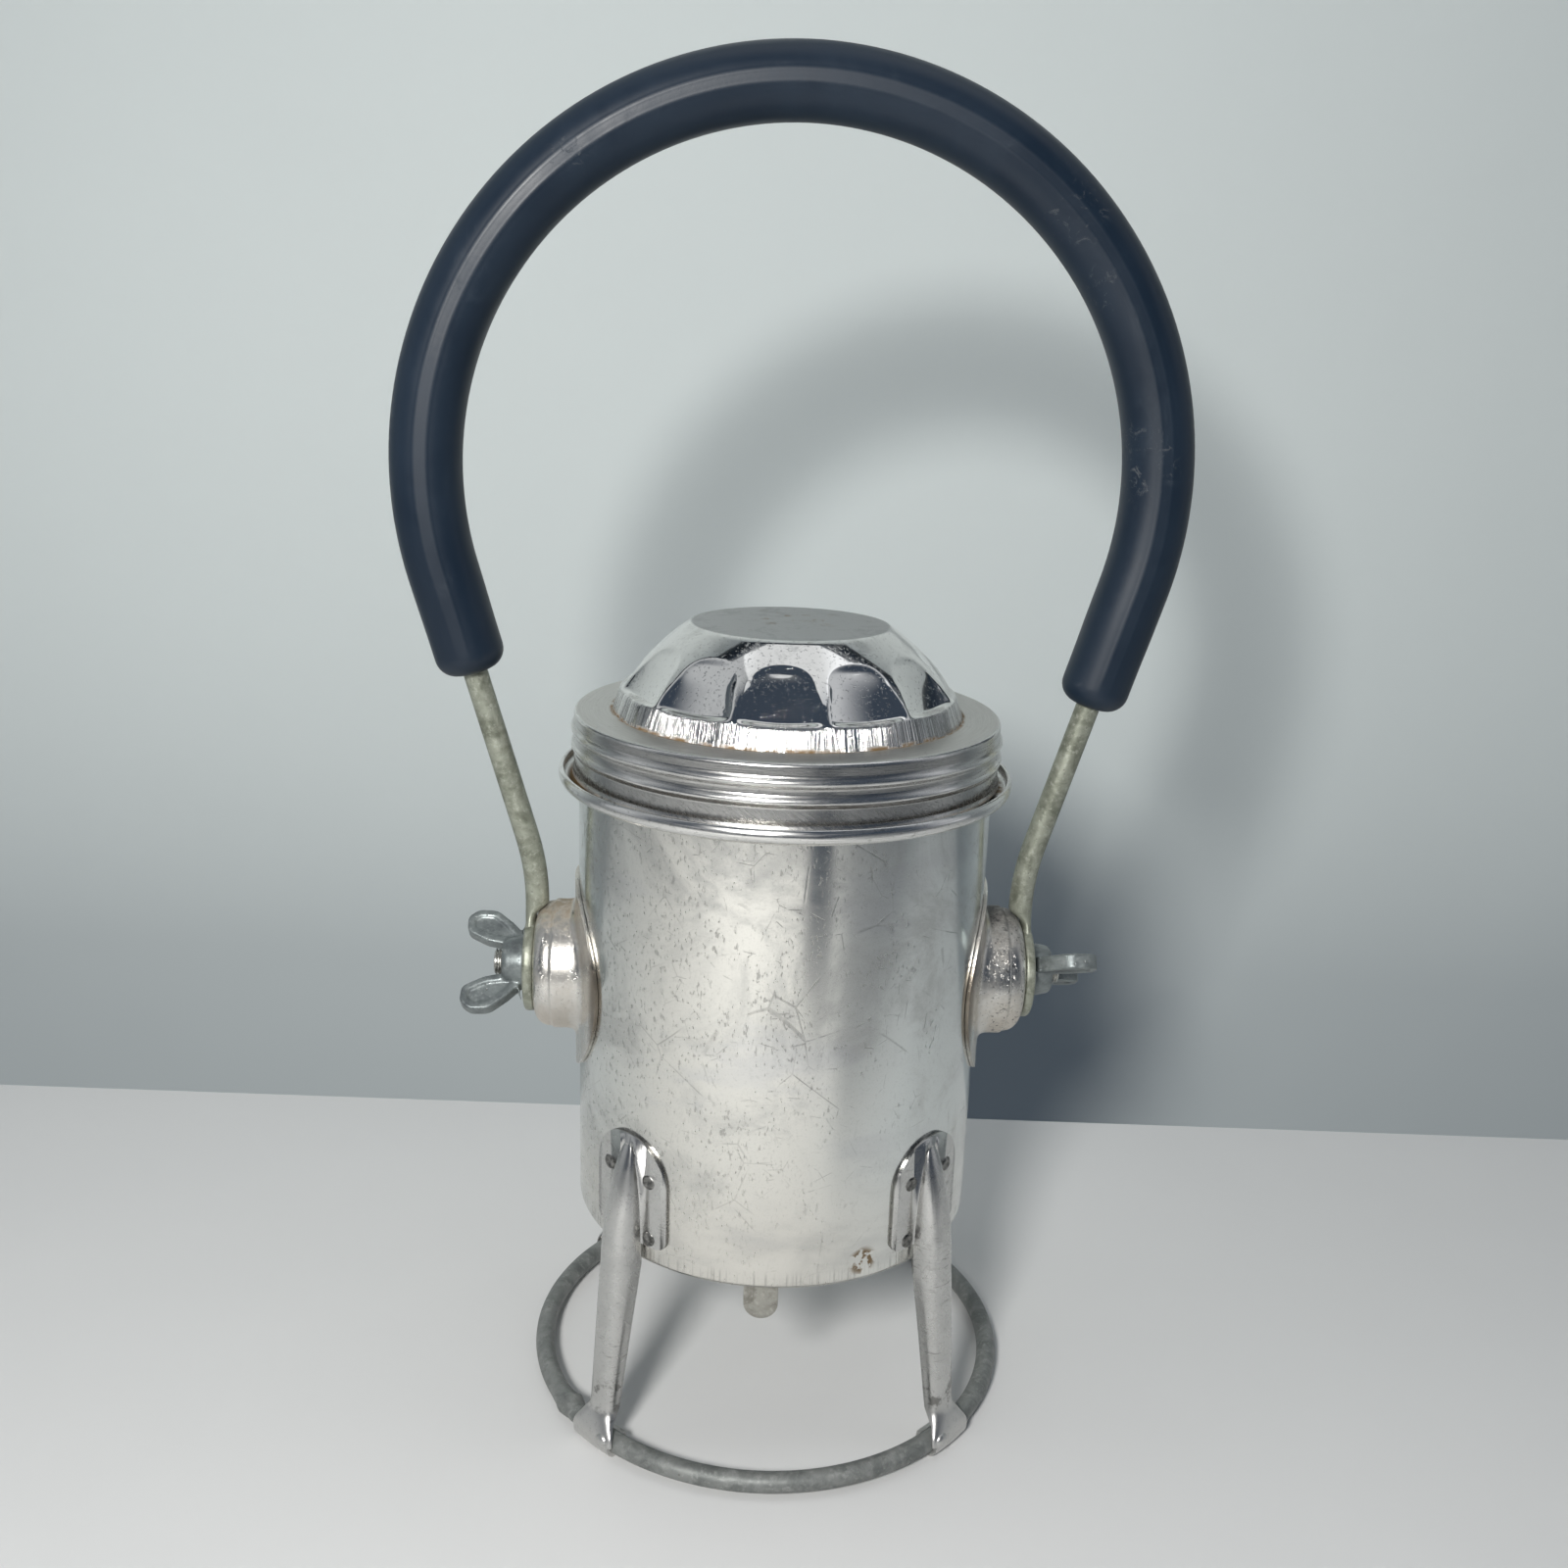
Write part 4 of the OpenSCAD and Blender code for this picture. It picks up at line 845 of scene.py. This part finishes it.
class LANTERN_OT_brackets(Piece, bpy.types.Operator):
    """The two bail brackets: a round plate wrapped on the body and a raised boss"""

    bl_idname = "lantern.brackets"
    bl_label = "Bail Brackets"

    def make(self, s, c):
        skin = s.body_radius + PLATE_LIFT
        end = s.boss_end - skin
        # Radius, lift and how far the body's curve has been left
        rows = [(s.plate_radius, 0, 0), (s.plate_radius - 0.25, 0.0, 0), (22.3, 0, 0), (20, 0, 0),
                (18.2, 0, 0), (17.3, 0.05, 0), (16.7, 0.25, 0.02), (16.2, 0.65, 0.05),
                (15.95, 1.15, 0.12), (15.82, 1.8, 0.25), (15.8, 2.6, 0.5), (15.8, 3.6, 0.8),
                (15.8, 4.5, 1), (15.78, 4.85, 1), (15.6, 5.1, 1), (15.38, 5.3, 1), (15.3, 5.6, 1)]
        rows += [(r, z, 1) for r, z in arc(11.5, end - 3.8, 3.8, 0, 90, 10)]
        rows += [(9, end, 1), (6.5, end, 1), (s.stud_radius + 0.08, end, 1)]
        for side, word in SIDES:
            bm = turned([(r, i) for i, (r, lift, k) in enumerate(rows)], 144, closed=False)
            for v in bm.verts:
                lift, k = rows[round(v.co.z)][1:]
                wrap = math.sqrt(skin ** 2 - v.co.y ** 2)
                v.co.z = (1 - k) * wrap + k * skin + lift
            face_up(bm)
            bm = worked(bm, ("SOLIDIFY", {"thickness": 0.9, "offset": -1.0}),
                        ("BEVEL", {"width": 0.14, "segments": 2, "limit_method": "ANGLE",
                                   "angle_limit": math.radians(60)}))
            to_side(bm, side, s.pivot)
            hand_over(bm, "bail_bracket_" + word, "pressed",
                      bracket_finish(c, side), 50)


class LANTERN_OT_fasteners(Piece, bpy.types.Operator):
    """Threaded pivot studs and cast wing nuts"""

    bl_idname = "lantern.fasteners"
    bl_label = "Studs and Wing Nuts"

    turns = {-1: -48.0, 1: 58.0}  # Degrees that the left and right nuts stand at
    ear_thickness = 3.8
    pitch, depth = 0.9, 0.42  # Of the stud's thread

    def stud(self, s):
        start = s.boss_end - 0.95
        r, points = s.stud_radius, [(0.0, start - 2.6), (5.6, start - 2.6), (6.0, start - 2.2),
                                    (6.0, start), (s.stud_radius, start)]
        z = s.boss_end + 2.8
        while z < s.stud_end - 1.0:
            root = r - self.depth
            points += [(r, z), (r, z + 0.18), (root, z + 0.5), (root, z + 0.58)]
            z += self.pitch
        points += [(r, z), (r, s.stud_end - 0.45), (r - 0.5, s.stud_end),
                   (1.2, s.stud_end), (0.0, s.stud_end - 0.12)]
        return turned(points, 48, closed=False)

    def nut(self):
        bm = turned([(3.3, 0), (6.3, 0), (6.6, 0.3), (6.6, 1.0), (6.4, 2.3), (6.0, 4.6),
                     (5.6, 5.4), (5.1, 5.6), (3.6, 5.6), (3.3, 5.3)], 64)
        outline = [(0.5, 6.2), (4.6, 10.5), (8.0, 13.2), (12.6, 13.4), (15.2, 11.4), (15.0, 7.4),
                   (9.8, 4.7), (5.0, 4.0), (1.0, 4.2)]
        for flip in (1, -1):
            ear = bmesh.new()
            face = ear.faces.new([ear.verts.new((flip * w, -self.ear_thickness / 2, h))
                                  for h, w in outline])
            out = bmesh.ops.extrude_face_region(ear, geom=[face])["geom"]
            far = [v for v in out if isinstance(v, bmesh.types.BMVert)]
            bmesh.ops.translate(ear, verts=far, vec=(0, self.ear_thickness, 0))
            bmesh.ops.recalc_face_normals(ear, faces=ear.faces)
            bevel(ear, [e for e in ear.edges if abs(e.verts[0].co.y - e.verts[1].co.y) > 1], 1.5, 3)
            # A flat rim, then the sunk field inside it
            for thickness, depth, least in ((1.5, 0.0, 0), (0.6, -0.5, 12)):
                broad = [f for f in ear.faces if abs(f.normal.y) > 0.9 and f.calc_area() > least]
                bmesh.ops.inset_region(ear, faces=broad, thickness=thickness, depth=depth,
                                       use_boundary=True, use_even_offset=True)
            bevel(ear, sharp_edges(ear, 60), 1.4, 4)
            gather(bm, ear)
        return worked(bm, ("REMESH", {"mode": "VOXEL", "voxel_size": 0.24}),
                      ("SMOOTH", {"factor": 0.5, "iterations": 9}))

    def make(self, s, c):
        shine = zinc_finish("stud_zinc", (0.55, 0.55, 0.52), (0.3, 0.3, 0.28),
                            (0.7, 0.69, 0.64), c, 0.28)
        cast = zinc_finish("cast_zinc", c.casting, (0.11, 0.125, 0.13), (0.3, 0.325, 0.32), c,
                           0.36, 1.0, 0.5)
        for side, word in SIDES:
            stud = self.stud(s)
            to_side(stud, side, s.pivot)
            hand_over(stud, "pivot_stud_" + word, "threaded", shine, 30)
            nut = self.nut()
            place = Matrix.Translation((0, 0, s.pivot)) \
                @ Matrix.Rotation(math.radians(self.turns[side]), 4, "X") \
                @ Matrix.Rotation(math.radians(90 * side), 4, "Y") \
                @ Matrix.Translation((0, 0, s.boss_end + 2.6))
            bmesh.ops.transform(nut, matrix=place, verts=nut.verts)
            hand_over(nut, "wing_nut_" + word, "cast", cast, 60)


def bail_line(s, tails=None):
    """Stations (centre, across) along the bail from the left end to the right end.

    The wire's line ends in its bent feet, and the grip's in two straight tails."""
    touch = Vector((-s.bail_radius * math.cos(LEAN), 0,
                    s.bail_centre - s.bail_radius * math.sin(LEAN)))
    ends = []
    if tails:
        down = Vector((math.sin(LEAN), 0, -math.cos(LEAN)))
        for tail in tails:
            count = max(int(tail / STEP), 2)
            ends.append([(touch + down * tail * (1 - i / count), LEAN) for i in range(count)])
    else:
        low = s.pivot + BEND_RISE - BEND_RADIUS * math.tan(LEAN / 2)
        foot = [(Vector((-FOOT_OUT - BEND_RADIUS * (1 - math.cos(a)), 0,
                         low + BEND_RADIUS * math.sin(a))), a)
                for a in [LEAN * i / 10 for i in range(11)]]
        last = foot[-1][0]
        count = max(int((touch - last).length / 6), 2)
        foot += [(last.lerp(touch, i / count), LEAN) for i in range(1, count)]
        ends = [foot, foot]
    sweep = math.pi + 2 * LEAN
    count = int(s.bail_radius * sweep / STEP)
    line = ends[0] + [(Vector((-s.bail_radius * math.cos(a), 0,
                               s.bail_centre - s.bail_radius * math.sin(a))), a)
                      for a in [LEAN - sweep * i / count for i in range(count + 1)]]
    line += [(Vector((-p.x, 0, p.z)), -math.pi - a) for p, a in reversed(ends[1])]
    return [(p, Vector((math.cos(a), 0, math.sin(a)))) for p, a in line]


class LANTERN_OT_bail(Piece, bpy.types.Operator):
    """Bail wire with its flattened eyes"""

    bl_idname = "lantern.bail"
    bl_label = "Bail Wire"

    def make(self, s, c):
        r = s.wire_radius
        inner, outer = s.boss_end + 0.05, s.boss_end + 2.55
        # Level above the pivot, inner face, half width of the wire as it is beaten flat
        flats = [(7.0, 59.7, 6.5), (9.4, 59.62, 5.6), (10.8, 59.6, 4.4), (12.2, 59.58, 3.6),
                 (13.0, 59.35, 3.2), (13.7, 58.9, 3.0), (14.4, 58.1, 2.92), (15.2, 57.1, 2.87),
                 (16.0, 56.5, r)]
        face = outer + 0.1
        foot = [(Vector((-(face + back) / 2, 0, s.pivot + lift)), Vector((1, 0, 0)),
                 (face - back) / 2, wide) for lift, back, wide in flats]
        line = [(p, across, r, r) for p, across in bail_line(s)]
        far = [(Vector((-p.x, 0, p.z)), -across, wide, deep)
               for p, across, wide, deep in reversed(foot)]
        bore, rim = s.stud_radius + 0.08, s.eye_radius - 0.8
        eyes = []
        for side in (-1, 1):
            eye = turned([(bore, inner), (rim + 0.1, inner)] + arc(rim, inner + 0.8, 0.8, -90, 0, 4)
                         + arc(rim, outer - 0.8, 0.8, 0, 90, 4) + [(bore, outer)], 72)
            to_side(eye, side, s.pivot)
            eyes.append(("BOOLEAN", {"operation": "UNION", "solver": "EXACT", "object": eye}))
        bm = worked(tube(foot + line + far, 28), *eyes)
        hand_over(bm, "bail_wire", "drawn",
                  zinc_finish("galvanised_wire", c.galvanise, (0.16, 0.17, 0.13),
                              (0.46, 0.475, 0.41), c, 0.4, 1.1, 0.45), 40)


class LANTERN_OT_grip(Piece, bpy.types.Operator):
    """Rubber grip with rounded ends and the two lines its mould left"""

    bl_idname = "lantern.grip"
    bl_label = "Bail Grip"

    def make(self, s, c):
        full, bore, round_end = s.grip_radius, s.wire_radius + 0.05, s.grip_round
        tail = full - 0.1
        line = bail_line(s, (s.tail_left, s.tail_right))

        def mould(angle):
            off = math.degrees(angle) + 90
            return 0.13 * sum(math.exp(-((off - side * 9.3) / 2.6) ** 2) for side in (-1, 1))

        def ending(end, following):
            point, across = end
            inward = (following[0] - point).normalized()
            rows = [(point + inward * 1.2, across, bore, bore), (point, across, bore, bore),
                    (point, across, tail - round_end, tail - round_end)]
            for i in range(1, 9):
                a = math.pi / 2 * i / 8
                r = tail - round_end + round_end * math.sin(a)
                rows.append((point + inward * round_end * (1 - math.cos(a)), across, r, r))
            return rows

        walk = walked([p for p, across in line])
        middle = []
        for (p, across), way in zip(line, walk):
            edge = min(way, walk[-1] - way)
            if edge > round_end + 0.3:
                r = tail + (full - tail) * ease(10, 22, edge)
                fade = ease(round_end, round_end + 3, edge)
                middle.append((p, across, r, r, lambda a, k=fade: mould(a) * k))
        finish = ending(line[-1], line[-2])
        bm = tube(ending(line[0], line[1]) + middle + finish[::-1], 112)
        hand_over(bm, "bail_grip", "moulded", rubber_finish(c), 40)


class LANTERN_OT_ring(Piece, bpy.types.Operator):
    """Wire ring of the stand with the lump of its welded joint"""

    bl_idname = "lantern.ring"
    bl_label = "Base Ring"

    weld = -148.0  # Degrees round the ring where it was joined

    def make(self, s, c):
        bm = turned(arc(s.ring_radius, s.ring_level, s.ring_wire, 0, 345, 23), 288)
        for v in bm.verts:
            turn = math.degrees(math.atan2(v.co.y, v.co.x))
            away = (turn - self.weld + 180) % 360 - 180
            middle = Vector((math.cos(math.radians(turn)), math.sin(math.radians(turn)), 0))
            middle = middle * s.ring_radius + Vector((0, 0, s.ring_level))
            out = v.co - middle
            lump = 0.2 * math.exp(-((away - 1.2) / 1.4) ** 2) + 0.13 * math.exp(-(away / 3.2) ** 2)
            lump *= 1 + 0.9 * noise.noise(v.co * 0.9)
            v.co = middle + out * (1 + max(lump, 0.0) * (1.25 if out.z > -0.8 else 0.2))
            v.co.z += 0.12 * noise.noise(middle * 0.02)
        hand_over(bm, "base_ring", "bent",
                  zinc_finish("ring_zinc", c.ring_zinc, (0.14, 0.15, 0.145),
                              (0.36, 0.37, 0.355), c, 0.5, 0.8, 0.45), 50)


class LANTERN_OT_legs(Piece, bpy.types.Operator):
    """The four pressed legs, their foot rivets and the marks of their spot welds"""

    bl_idname = "lantern.legs"
    bl_label = "Legs"

    def channel(self, s):
        """A leg's drawn channel, from the rib's tip on the plate down to the ring."""
        plate, ring = s.body_base + 5.3, s.ring_level
        seat, tip = s.body_radius + 0.05, s.body_base + 29.0
        root, knee = seat + 0.45, seat + 6.9
        foot = s.ring_radius + s.ring_wire + 0.95
        ankle, rise, fall = foot - 2.3, tip - plate, plate - ring
        down = ankle - knee
        # Level, free edge, crown and width
        table = [(tip + 0.5, root, seat + 0.93, 1.2), (tip, root, seat + 1.05, 2.4),
                 (tip - 0.09 * rise, root, seat + 1.9, 4.2),
                 (tip - 0.24 * rise, root, seat + 3.2, 6.0),
                 (tip - 0.45 * rise, root, seat + 4.65, 7.4),
                 (tip - 0.7 * rise, root, seat + 5.9, 8.4), (plate + 0.2, root, knee, 9.0),
                 (plate - 0.11 * fall, root + 0.5, knee + 0.12 * down, 9.0),
                 (plate - 0.2 * fall, root + 1.3, knee + 0.24 * down, 9.0),
                 (plate - 0.36 * fall, root + 2.7, knee + 0.42 * down, 8.67),
                 (plate - 0.55 * fall, root + 4.2, knee + 0.64 * down, 8.28),
                 (plate - 0.75 * fall, root + 5.7, knee + 0.86 * down, 7.9),
                 (ring + 7.6, root + 6.6, ankle, 7.9),
                 (ring + 4.9, s.ring_radius + 0.2, ankle + 1.1, 9.9),
                 (ring + 2.4, foot - 1.5, foot - 0.2, 12.9),
                 (ring + 0.4, foot - 0.92, foot, 13.7)]
        rings = []
        for i in range(len(table) - 1):
            a, b, d, e = (Vector(table[min(max(j, 0), len(table) - 1)]) for j in
                          (i - 1, i, i + 1, i + 2))
            for k in range(6):
                u = k / 6
                rings.append(0.5 * (2 * b + (d - a) * u + (2 * a - 5 * b + 4 * d - e) * u * u
                                    + (3 * b - a - 3 * d + e) * u ** 3))
        rings.append(Vector(table[-1]))

        def section(level, back, crown, wide):
            half, loop = wide / 2, []
            # Outer face one way round, then the inner face back
            for skin, way in ((0.0, 1), (0.85, -1)):
                out, side = max(crown - back - skin, 0.1), max(half - skin, 0.2)
                for i in range(25):
                    t = math.radians(-90 + 7.5 * i) * way
                    loop.append(Vector((back + out * max(math.cos(t), 0) ** 0.62, side
                                        * math.copysign(abs(math.sin(t)) ** 0.85, t), level)))
            return loop

        return loft([section(*ring_at) for ring_at in rings])

    def make(self, s, c):
        finish = leg_finish(c)
        skin = s.body_radius + PLATE_LIFT
        for word in ("front_left", "front_right", "rear_left", "rear_right"):
            sheet = smoothed("leg_" + word, "pressed", "nickel_legs", finish, 38)
            # The sheet under the channel is pushed in where it would show through
            for v in sheet.data.vertices:
                out = Vector((v.co.x, v.co.y, 0)) * 1000
                if out.length > skin + 0.25 and v.co.z * 1000 > s.ring_level + 3.5:
                    v.co -= out.normalized() * 0.0007
        rivet = [(2.05, -0.6), (2.0, 0.1), (1.78, 0.5), (1.3, 0.85), (0.65, 1.03), (0.0, 1.08)]
        crater = [(0.0, 0.02), (0.6, 0.04), (1.0, 0.22), (1.3, 0.26), (1.6, 0.16), (1.85, -0.12)]
        ribs, rivets, marks = bmesh.new(), bmesh.new(), bmesh.new()
        for turn, side in ((-135, 1), (-45, -1), (135, -1), (45, 1)):
            rib = self.channel(s)
            bmesh.ops.transform(rib, matrix=Matrix.Rotation(math.radians(turn), 4, "Z"),
                                verts=rib.verts)
            gather(ribs, rib)
            gather(rivets, knob(rivet, 28, math.radians(turn + side * 3.7), s.ring_radius + 2.9,
                                s.ring_level + 1.1))
            for offset, level in ((-6.7, 69.4), (6.7, 69.4), (-6.9, 54.8), (6.9, 54.8)):
                radius = skin + 0.01
                gather(marks, knob(crater, 20, math.radians(turn) + offset / radius, radius, level))
        burnt = plain_finish("weld_marks", (0.1, 0.1, 0.095), (0.33, 0.325, 0.31), 1.0, 0.25, 0.45,
                             900)
        for bm, name, look, crease in ((ribs, "leg_channels", finish, 60),
                                       (rivets, "foot_rivets", finish, 60),
                                       (marks, "leg_spot_welds", burnt, 50)):
            hand_over(bm, name, None, look, crease)


class LANTERN_OT_insides(Piece, bpy.types.Operator):
    """Neck, seal, pan, reflector, bulbs, battery, springs and switch lever"""

    bl_idname = "lantern.insides"
    bl_label = "Inner Pieces"

    def make(self, s, c):
        neck = plain_finish("neck_nickel", c.nickel, c.worn_nickel, 1.0, 0.18, 0.34, 140)
        steel = plain_finish("pan_steel", (0.52, 0.51, 0.48), (0.36, 0.35, 0.32), 1.0, 0.28, 0.48)
        mirror = plain_finish("reflector_plate", (0.9, 0.9, 0.89), (0.8, 0.8, 0.78), 1.0,
                              0.05, 0.16, 60, 0.00002)
        seal = plain_finish("seal_rubber", (0.055, 0.03, 0.02), (0.09, 0.055, 0.038), 0.0,
                            0.55, 0.75, 300, 0.00015)
        brass = plain_finish("contact_brass", c.brass, (0.42, 0.27, 0.11), 1.0, 0.2, 0.42, 240)
        board = plain_finish("fibre_board", c.board, (0.2, 0.08, 0.04), 0.0, 0.5, 0.68, 420)
        spring = plain_finish("spring_steel", (0.58, 0.58, 0.56), (0.4, 0.39, 0.37), 1.0,
                              0.22, 0.4, 300)
        lever = zinc_finish("lever_steel", (0.42, 0.41, 0.37), (0.24, 0.23, 0.2),
                            (0.6, 0.59, 0.54), c, 0.42, 1.6)
        glass = glass_finish()
        for piece in (("threaded_neck", "rolled", "nickel_body", neck, 40),
                      ("cap_gasket", "moulded", "gasket_rubber", seal, 40),
                      ("bottom_pan", "pressed", "bare_steel", steel, 40),
                      ("reflector", "spun", "bright_reflector", mirror, 40),
                      ("battery_case", "wrapped", "battery_jacket", jacket_finish(c), 30),
                      ("battery_springs", "wound", "spring_steel", spring, 60),
                      ("switch_lever", "bent", "bare_steel", lever, 30, 0.15),
                      ("bulb_sockets", "drawn", "brass_contacts", brass, 40),
                      ("bulb_bases", "rolled", "brass_contacts", brass, 40),
                      ("main_bulb_glass", "blown", "bulb_glass", glass, 60),
                      ("spare_bulb_glass", "blown", "bulb_glass", glass, 60)):
            smoothed(*piece)
        for node in ("contact_board", "battery_contacts", "bulb_contacts", "switch_rivet"):
            NODES[node].data.materials.clear()
            NODES[node].data.materials.append(board if node == "contact_board" else brass)
        self.filaments(spring)

    def filaments(self, finish):
        """Two posts and a coil inside each bulb."""
        bm = bmesh.new()
        for middle in (-10.5, 10.5):
            for side in (-1, 1):
                gather(bm, tube([(Vector((middle + side * w, 0, z)), Vector((1, 0, 0)), 0.16, 0.16)
                                 for w, z in ((0.9, 56.0), (1.0, 52.5), (1.7, 49.5), (1.9, 47.2))],
                                8))
            coil = []
            for i in range(73):
                a = math.radians(60 * i)
                coil.append((Vector((middle - 1.9 + 3.8 * i / 72, 0.25 * math.cos(a),
                                     47.2 + 0.25 * math.sin(a))), Vector((0, 0, 1)), 0.07, 0.07))
            gather(bm, tube(coil, 6))
        hand_over(bm, "bulb_filaments", None, finish, 60)


class LANTERN_OT_stage(bpy.types.Operator):
    """Pale floor and wall, soft lamps and the camera"""

    bl_idname = "lantern.stage"
    bl_label = "Stage"
    bl_options = {"REGISTER", "UNDO"}

    turn = math.radians(-3.1)  # Of the whole stage round the lantern's axis
    # The camera's sideways and upward directions and its place, before that turn
    right = Vector((0.99939, 0.01021, 0.03347))
    up = Vector((-0.03498, 0.27182, 0.96171))
    stand = Vector((0, -0.34726, 0.25171))

    def cloth(self, name, colour, rough, painted_reflection=None):
        """A matte surface that is clear from behind. The floor carries a painted reflection: metal
        sees dusky strips in it. The wall carries painted shade towards its foot.
        """
        f = Finish(name, roughness=rough)
        x, y, z, _ = f.level()
        soft = f.mottle(4.5, 3, 0.5)
        base = f.mixed(f.span(soft, 0.35, 0.65), tuple(v * 0.985 for v in colour), colour)
        # Painted reflection: only glossy rays see these dusky strips, so the metal mirrors dark
        # patches in the floor
        if painted_reflection:
            way = f.plus(f.sum("DIVIDE", x, f.sum("MINIMUM", y, -0.01)), 0.3)
            strip = f.times(f.span(f.sum("ABSOLUTE", way), 0.17, 0.08), f.span(y, -0.22, -0.42))
            aside = f.times(f.span(way, -0.05, -0.4, 0.0, 0.5), f.span(y, -0.1, -0.25))
            far = f.span(f.plus(y, f.times(soft, 0.05)), -0.4, -0.56, 0.0, 0.55)
            mirror = f.tree.nodes.new("ShaderNodeLightPath").outputs["Is Glossy Ray"]
            base = f.coats(base, (f.most(far, aside, strip), mirror, painted_reflection))
        else:
            # Painted shade: the wall is darker towards its foot
            base = f.mixed(f.span(z, -0.12, 0.26), tuple(v * 0.95 for v in colour), base)
        f.set(base_color=base)
        f.relief(f.plus(soft, f.times(f.mottle(700, 2, 0.5), 0.004)), 0.25, 0.012)
        clear = f.tree.nodes.new("ShaderNodeBsdfTransparent").outputs[0]
        behind = f.tree.nodes.new("ShaderNodeNewGeometry").outputs["Backfacing"]
        mix = f.add("ShaderNodeMixShader", {0: behind, 1: f.shader.outputs[0], 2: clear})
        f.tree.links.new(mix, f.tree.nodes["Material Output"].inputs["Surface"])
        return f.material

    def plane(self, name, wide, deep, place, finish):
        """A flat sheet of the stage, in metres."""
        bm = bmesh.new()
        bmesh.ops.create_grid(bm, x_segments=4, y_segments=4, size=0.5)
        bmesh.ops.scale(bm, vec=(wide, deep, 1), verts=bm.verts)
        bmesh.ops.transform(bm, matrix=Matrix.Rotation(self.turn, 4, "Z") @ place, verts=bm.verts)
        sheet = solid(name, bm)
        sheet.data.materials.append(finish)

    def lamp(self, name, place, aim, size, power, colour):
        """A round soft lamp at a place, turned to what it lights."""
        data = bpy.data.lights.new(name, "AREA")
        data.shape, data.size, data.energy, data.color = "DISK", size, power, colour
        lamp = put(name, data)
        where = Matrix.Rotation(self.turn, 3, "Z") @ Vector(place)
        lamp.location = where
        lamp.rotation_euler = (Vector(aim) - where).to_track_quat("-Z", "Y").to_euler()

    def world(self, room):
        """Bright above, dark in front of the lantern, pale where the camera looks."""
        world = bpy.data.worlds.new("studio")
        world.use_nodes = True
        tree = world.node_tree
        tree.nodes.clear()
        f = Weave(tree, "Generated")
        x, y, z, radius = f.level()
        front = f.span(f.sum("DIVIDE", y, f.most(radius, 0.001)), 0.0, -0.5)
        sides = f.mixed(f.span(x, -0.5, 0.6), (0.5, 0.52, 0.54), (0.56, 0.58, 0.61))
        eye = tree.nodes.new("ShaderNodeLightPath").outputs["Is Camera Ray"]
        shown = f.coats(sides, (front, 1.0, room),
                        (f.span(z, 0.915, 0.98), 1.0, (0.22, 0.23, 0.235)),
                        (eye, 1.0, (0.66, 0.69, 0.69)))
        light = f.add("ShaderNodeBackground", {"Color": shown, "Strength": 1.0})
        out = tree.nodes.new("ShaderNodeOutputWorld")
        tree.links.new(light, out.inputs["Surface"])
        bpy.context.scene.world = world

    def execute(self, context):
        stage = context.scene.lantern_stage
        wall = stage.wall_distance
        self.plane("floor", 4.0, 2.2, Matrix.Translation((0, stage.floor_edge - 1.1, 0)),
                   self.cloth("floor_cloth", stage.floor, 0.8, stage.room))
        self.plane("wall", 4.0, 2.0, Matrix.Translation((0, wall, 0.6))
                   @ Matrix.Rotation(math.radians(90), 4, "X"),
                   self.cloth("wall_paint", stage.wall, 0.75))
        self.lamp("key_lamp", (-0.15, -0.56, 0.43), (0, 0, 0.14), 0.13, stage.key,
                  (1.0, 0.99, 0.965))
        self.lamp("overhead_lamp", (0.15, 0.15, 1.2), (0.15, 0.17, 0), 1.1, stage.overhead,
                  (0.96, 0.98, 1.0))
        self.world(stage.room)
        spin = Matrix.Rotation(self.turn, 3, "Z")
        right, up = spin @ self.right, spin @ self.up
        back = right.cross(up).normalized()
        data = bpy.data.cameras.new("camera")
        data.lens, data.sensor_width = stage.lens, 36.0
        camera = put("camera", data)
        pose = Matrix((right, up, back)).transposed().to_4x4()
        camera.matrix_world = Matrix.Translation(spin @ self.stand) @ pose
        context.scene.camera = camera
        context.scene.view_settings.view_transform = "Standard"
        if context.scene.camera is None:
            raise RuntimeError("the stage has no camera")
        return {"FINISHED"}


PIECES = (LANTERN_OT_body, LANTERN_OT_collar, LANTERN_OT_cap, LANTERN_OT_dome,
          LANTERN_OT_brackets, LANTERN_OT_fasteners, LANTERN_OT_bail, LANTERN_OT_grip,
          LANTERN_OT_ring, LANTERN_OT_legs, LANTERN_OT_insides, LANTERN_OT_stage)


class LANTERN_PT_panel(bpy.types.Panel):
    """Lists the lantern's pieces, sizes and colours"""

    bl_idname = "LANTERN_PT_panel"
    bl_label = "Track Lantern"
    bl_space_type = "VIEW_3D"
    bl_region_type = "UI"
    bl_category = "Lantern"

    def draw(self, context):
        column = self.layout.column(align=True)
        for piece in PIECES:
            column.operator(piece.bl_idname)
        scene = context.scene
        for group, kind in ((scene.lantern_sizes, LanternSizes),
                            (scene.lantern_colours, LanternColours),
                            (scene.lantern_stage, LanternStage)):
            box = self.layout.box()
            for key in kind.__annotations__:
                box.prop(group, key)


CLASSES = (LanternSizes, LanternColours, LanternStage) + PIECES + (LANTERN_PT_panel,)


def register():
    for item in CLASSES:
        bpy.utils.register_class(item)
    bpy.types.Scene.lantern_sizes = PointerProperty(type=LanternSizes)
    bpy.types.Scene.lantern_colours = PointerProperty(type=LanternColours)
    bpy.types.Scene.lantern_stage = PointerProperty(type=LanternStage)


def unregister():
    del bpy.types.Scene.lantern_stage
    del bpy.types.Scene.lantern_colours
    del bpy.types.Scene.lantern_sizes
    for item in reversed(CLASSES):
        bpy.utils.unregister_class(item)


def main():
    register()
    for piece in PIECES:
        family, name = piece.bl_idname.split(".")
        result = getattr(getattr(bpy.ops, family), name)()
        if "FINISHED" not in result:
            raise RuntimeError(piece.bl_label + " didn't finish")


if __name__ == "__main__":
    main()
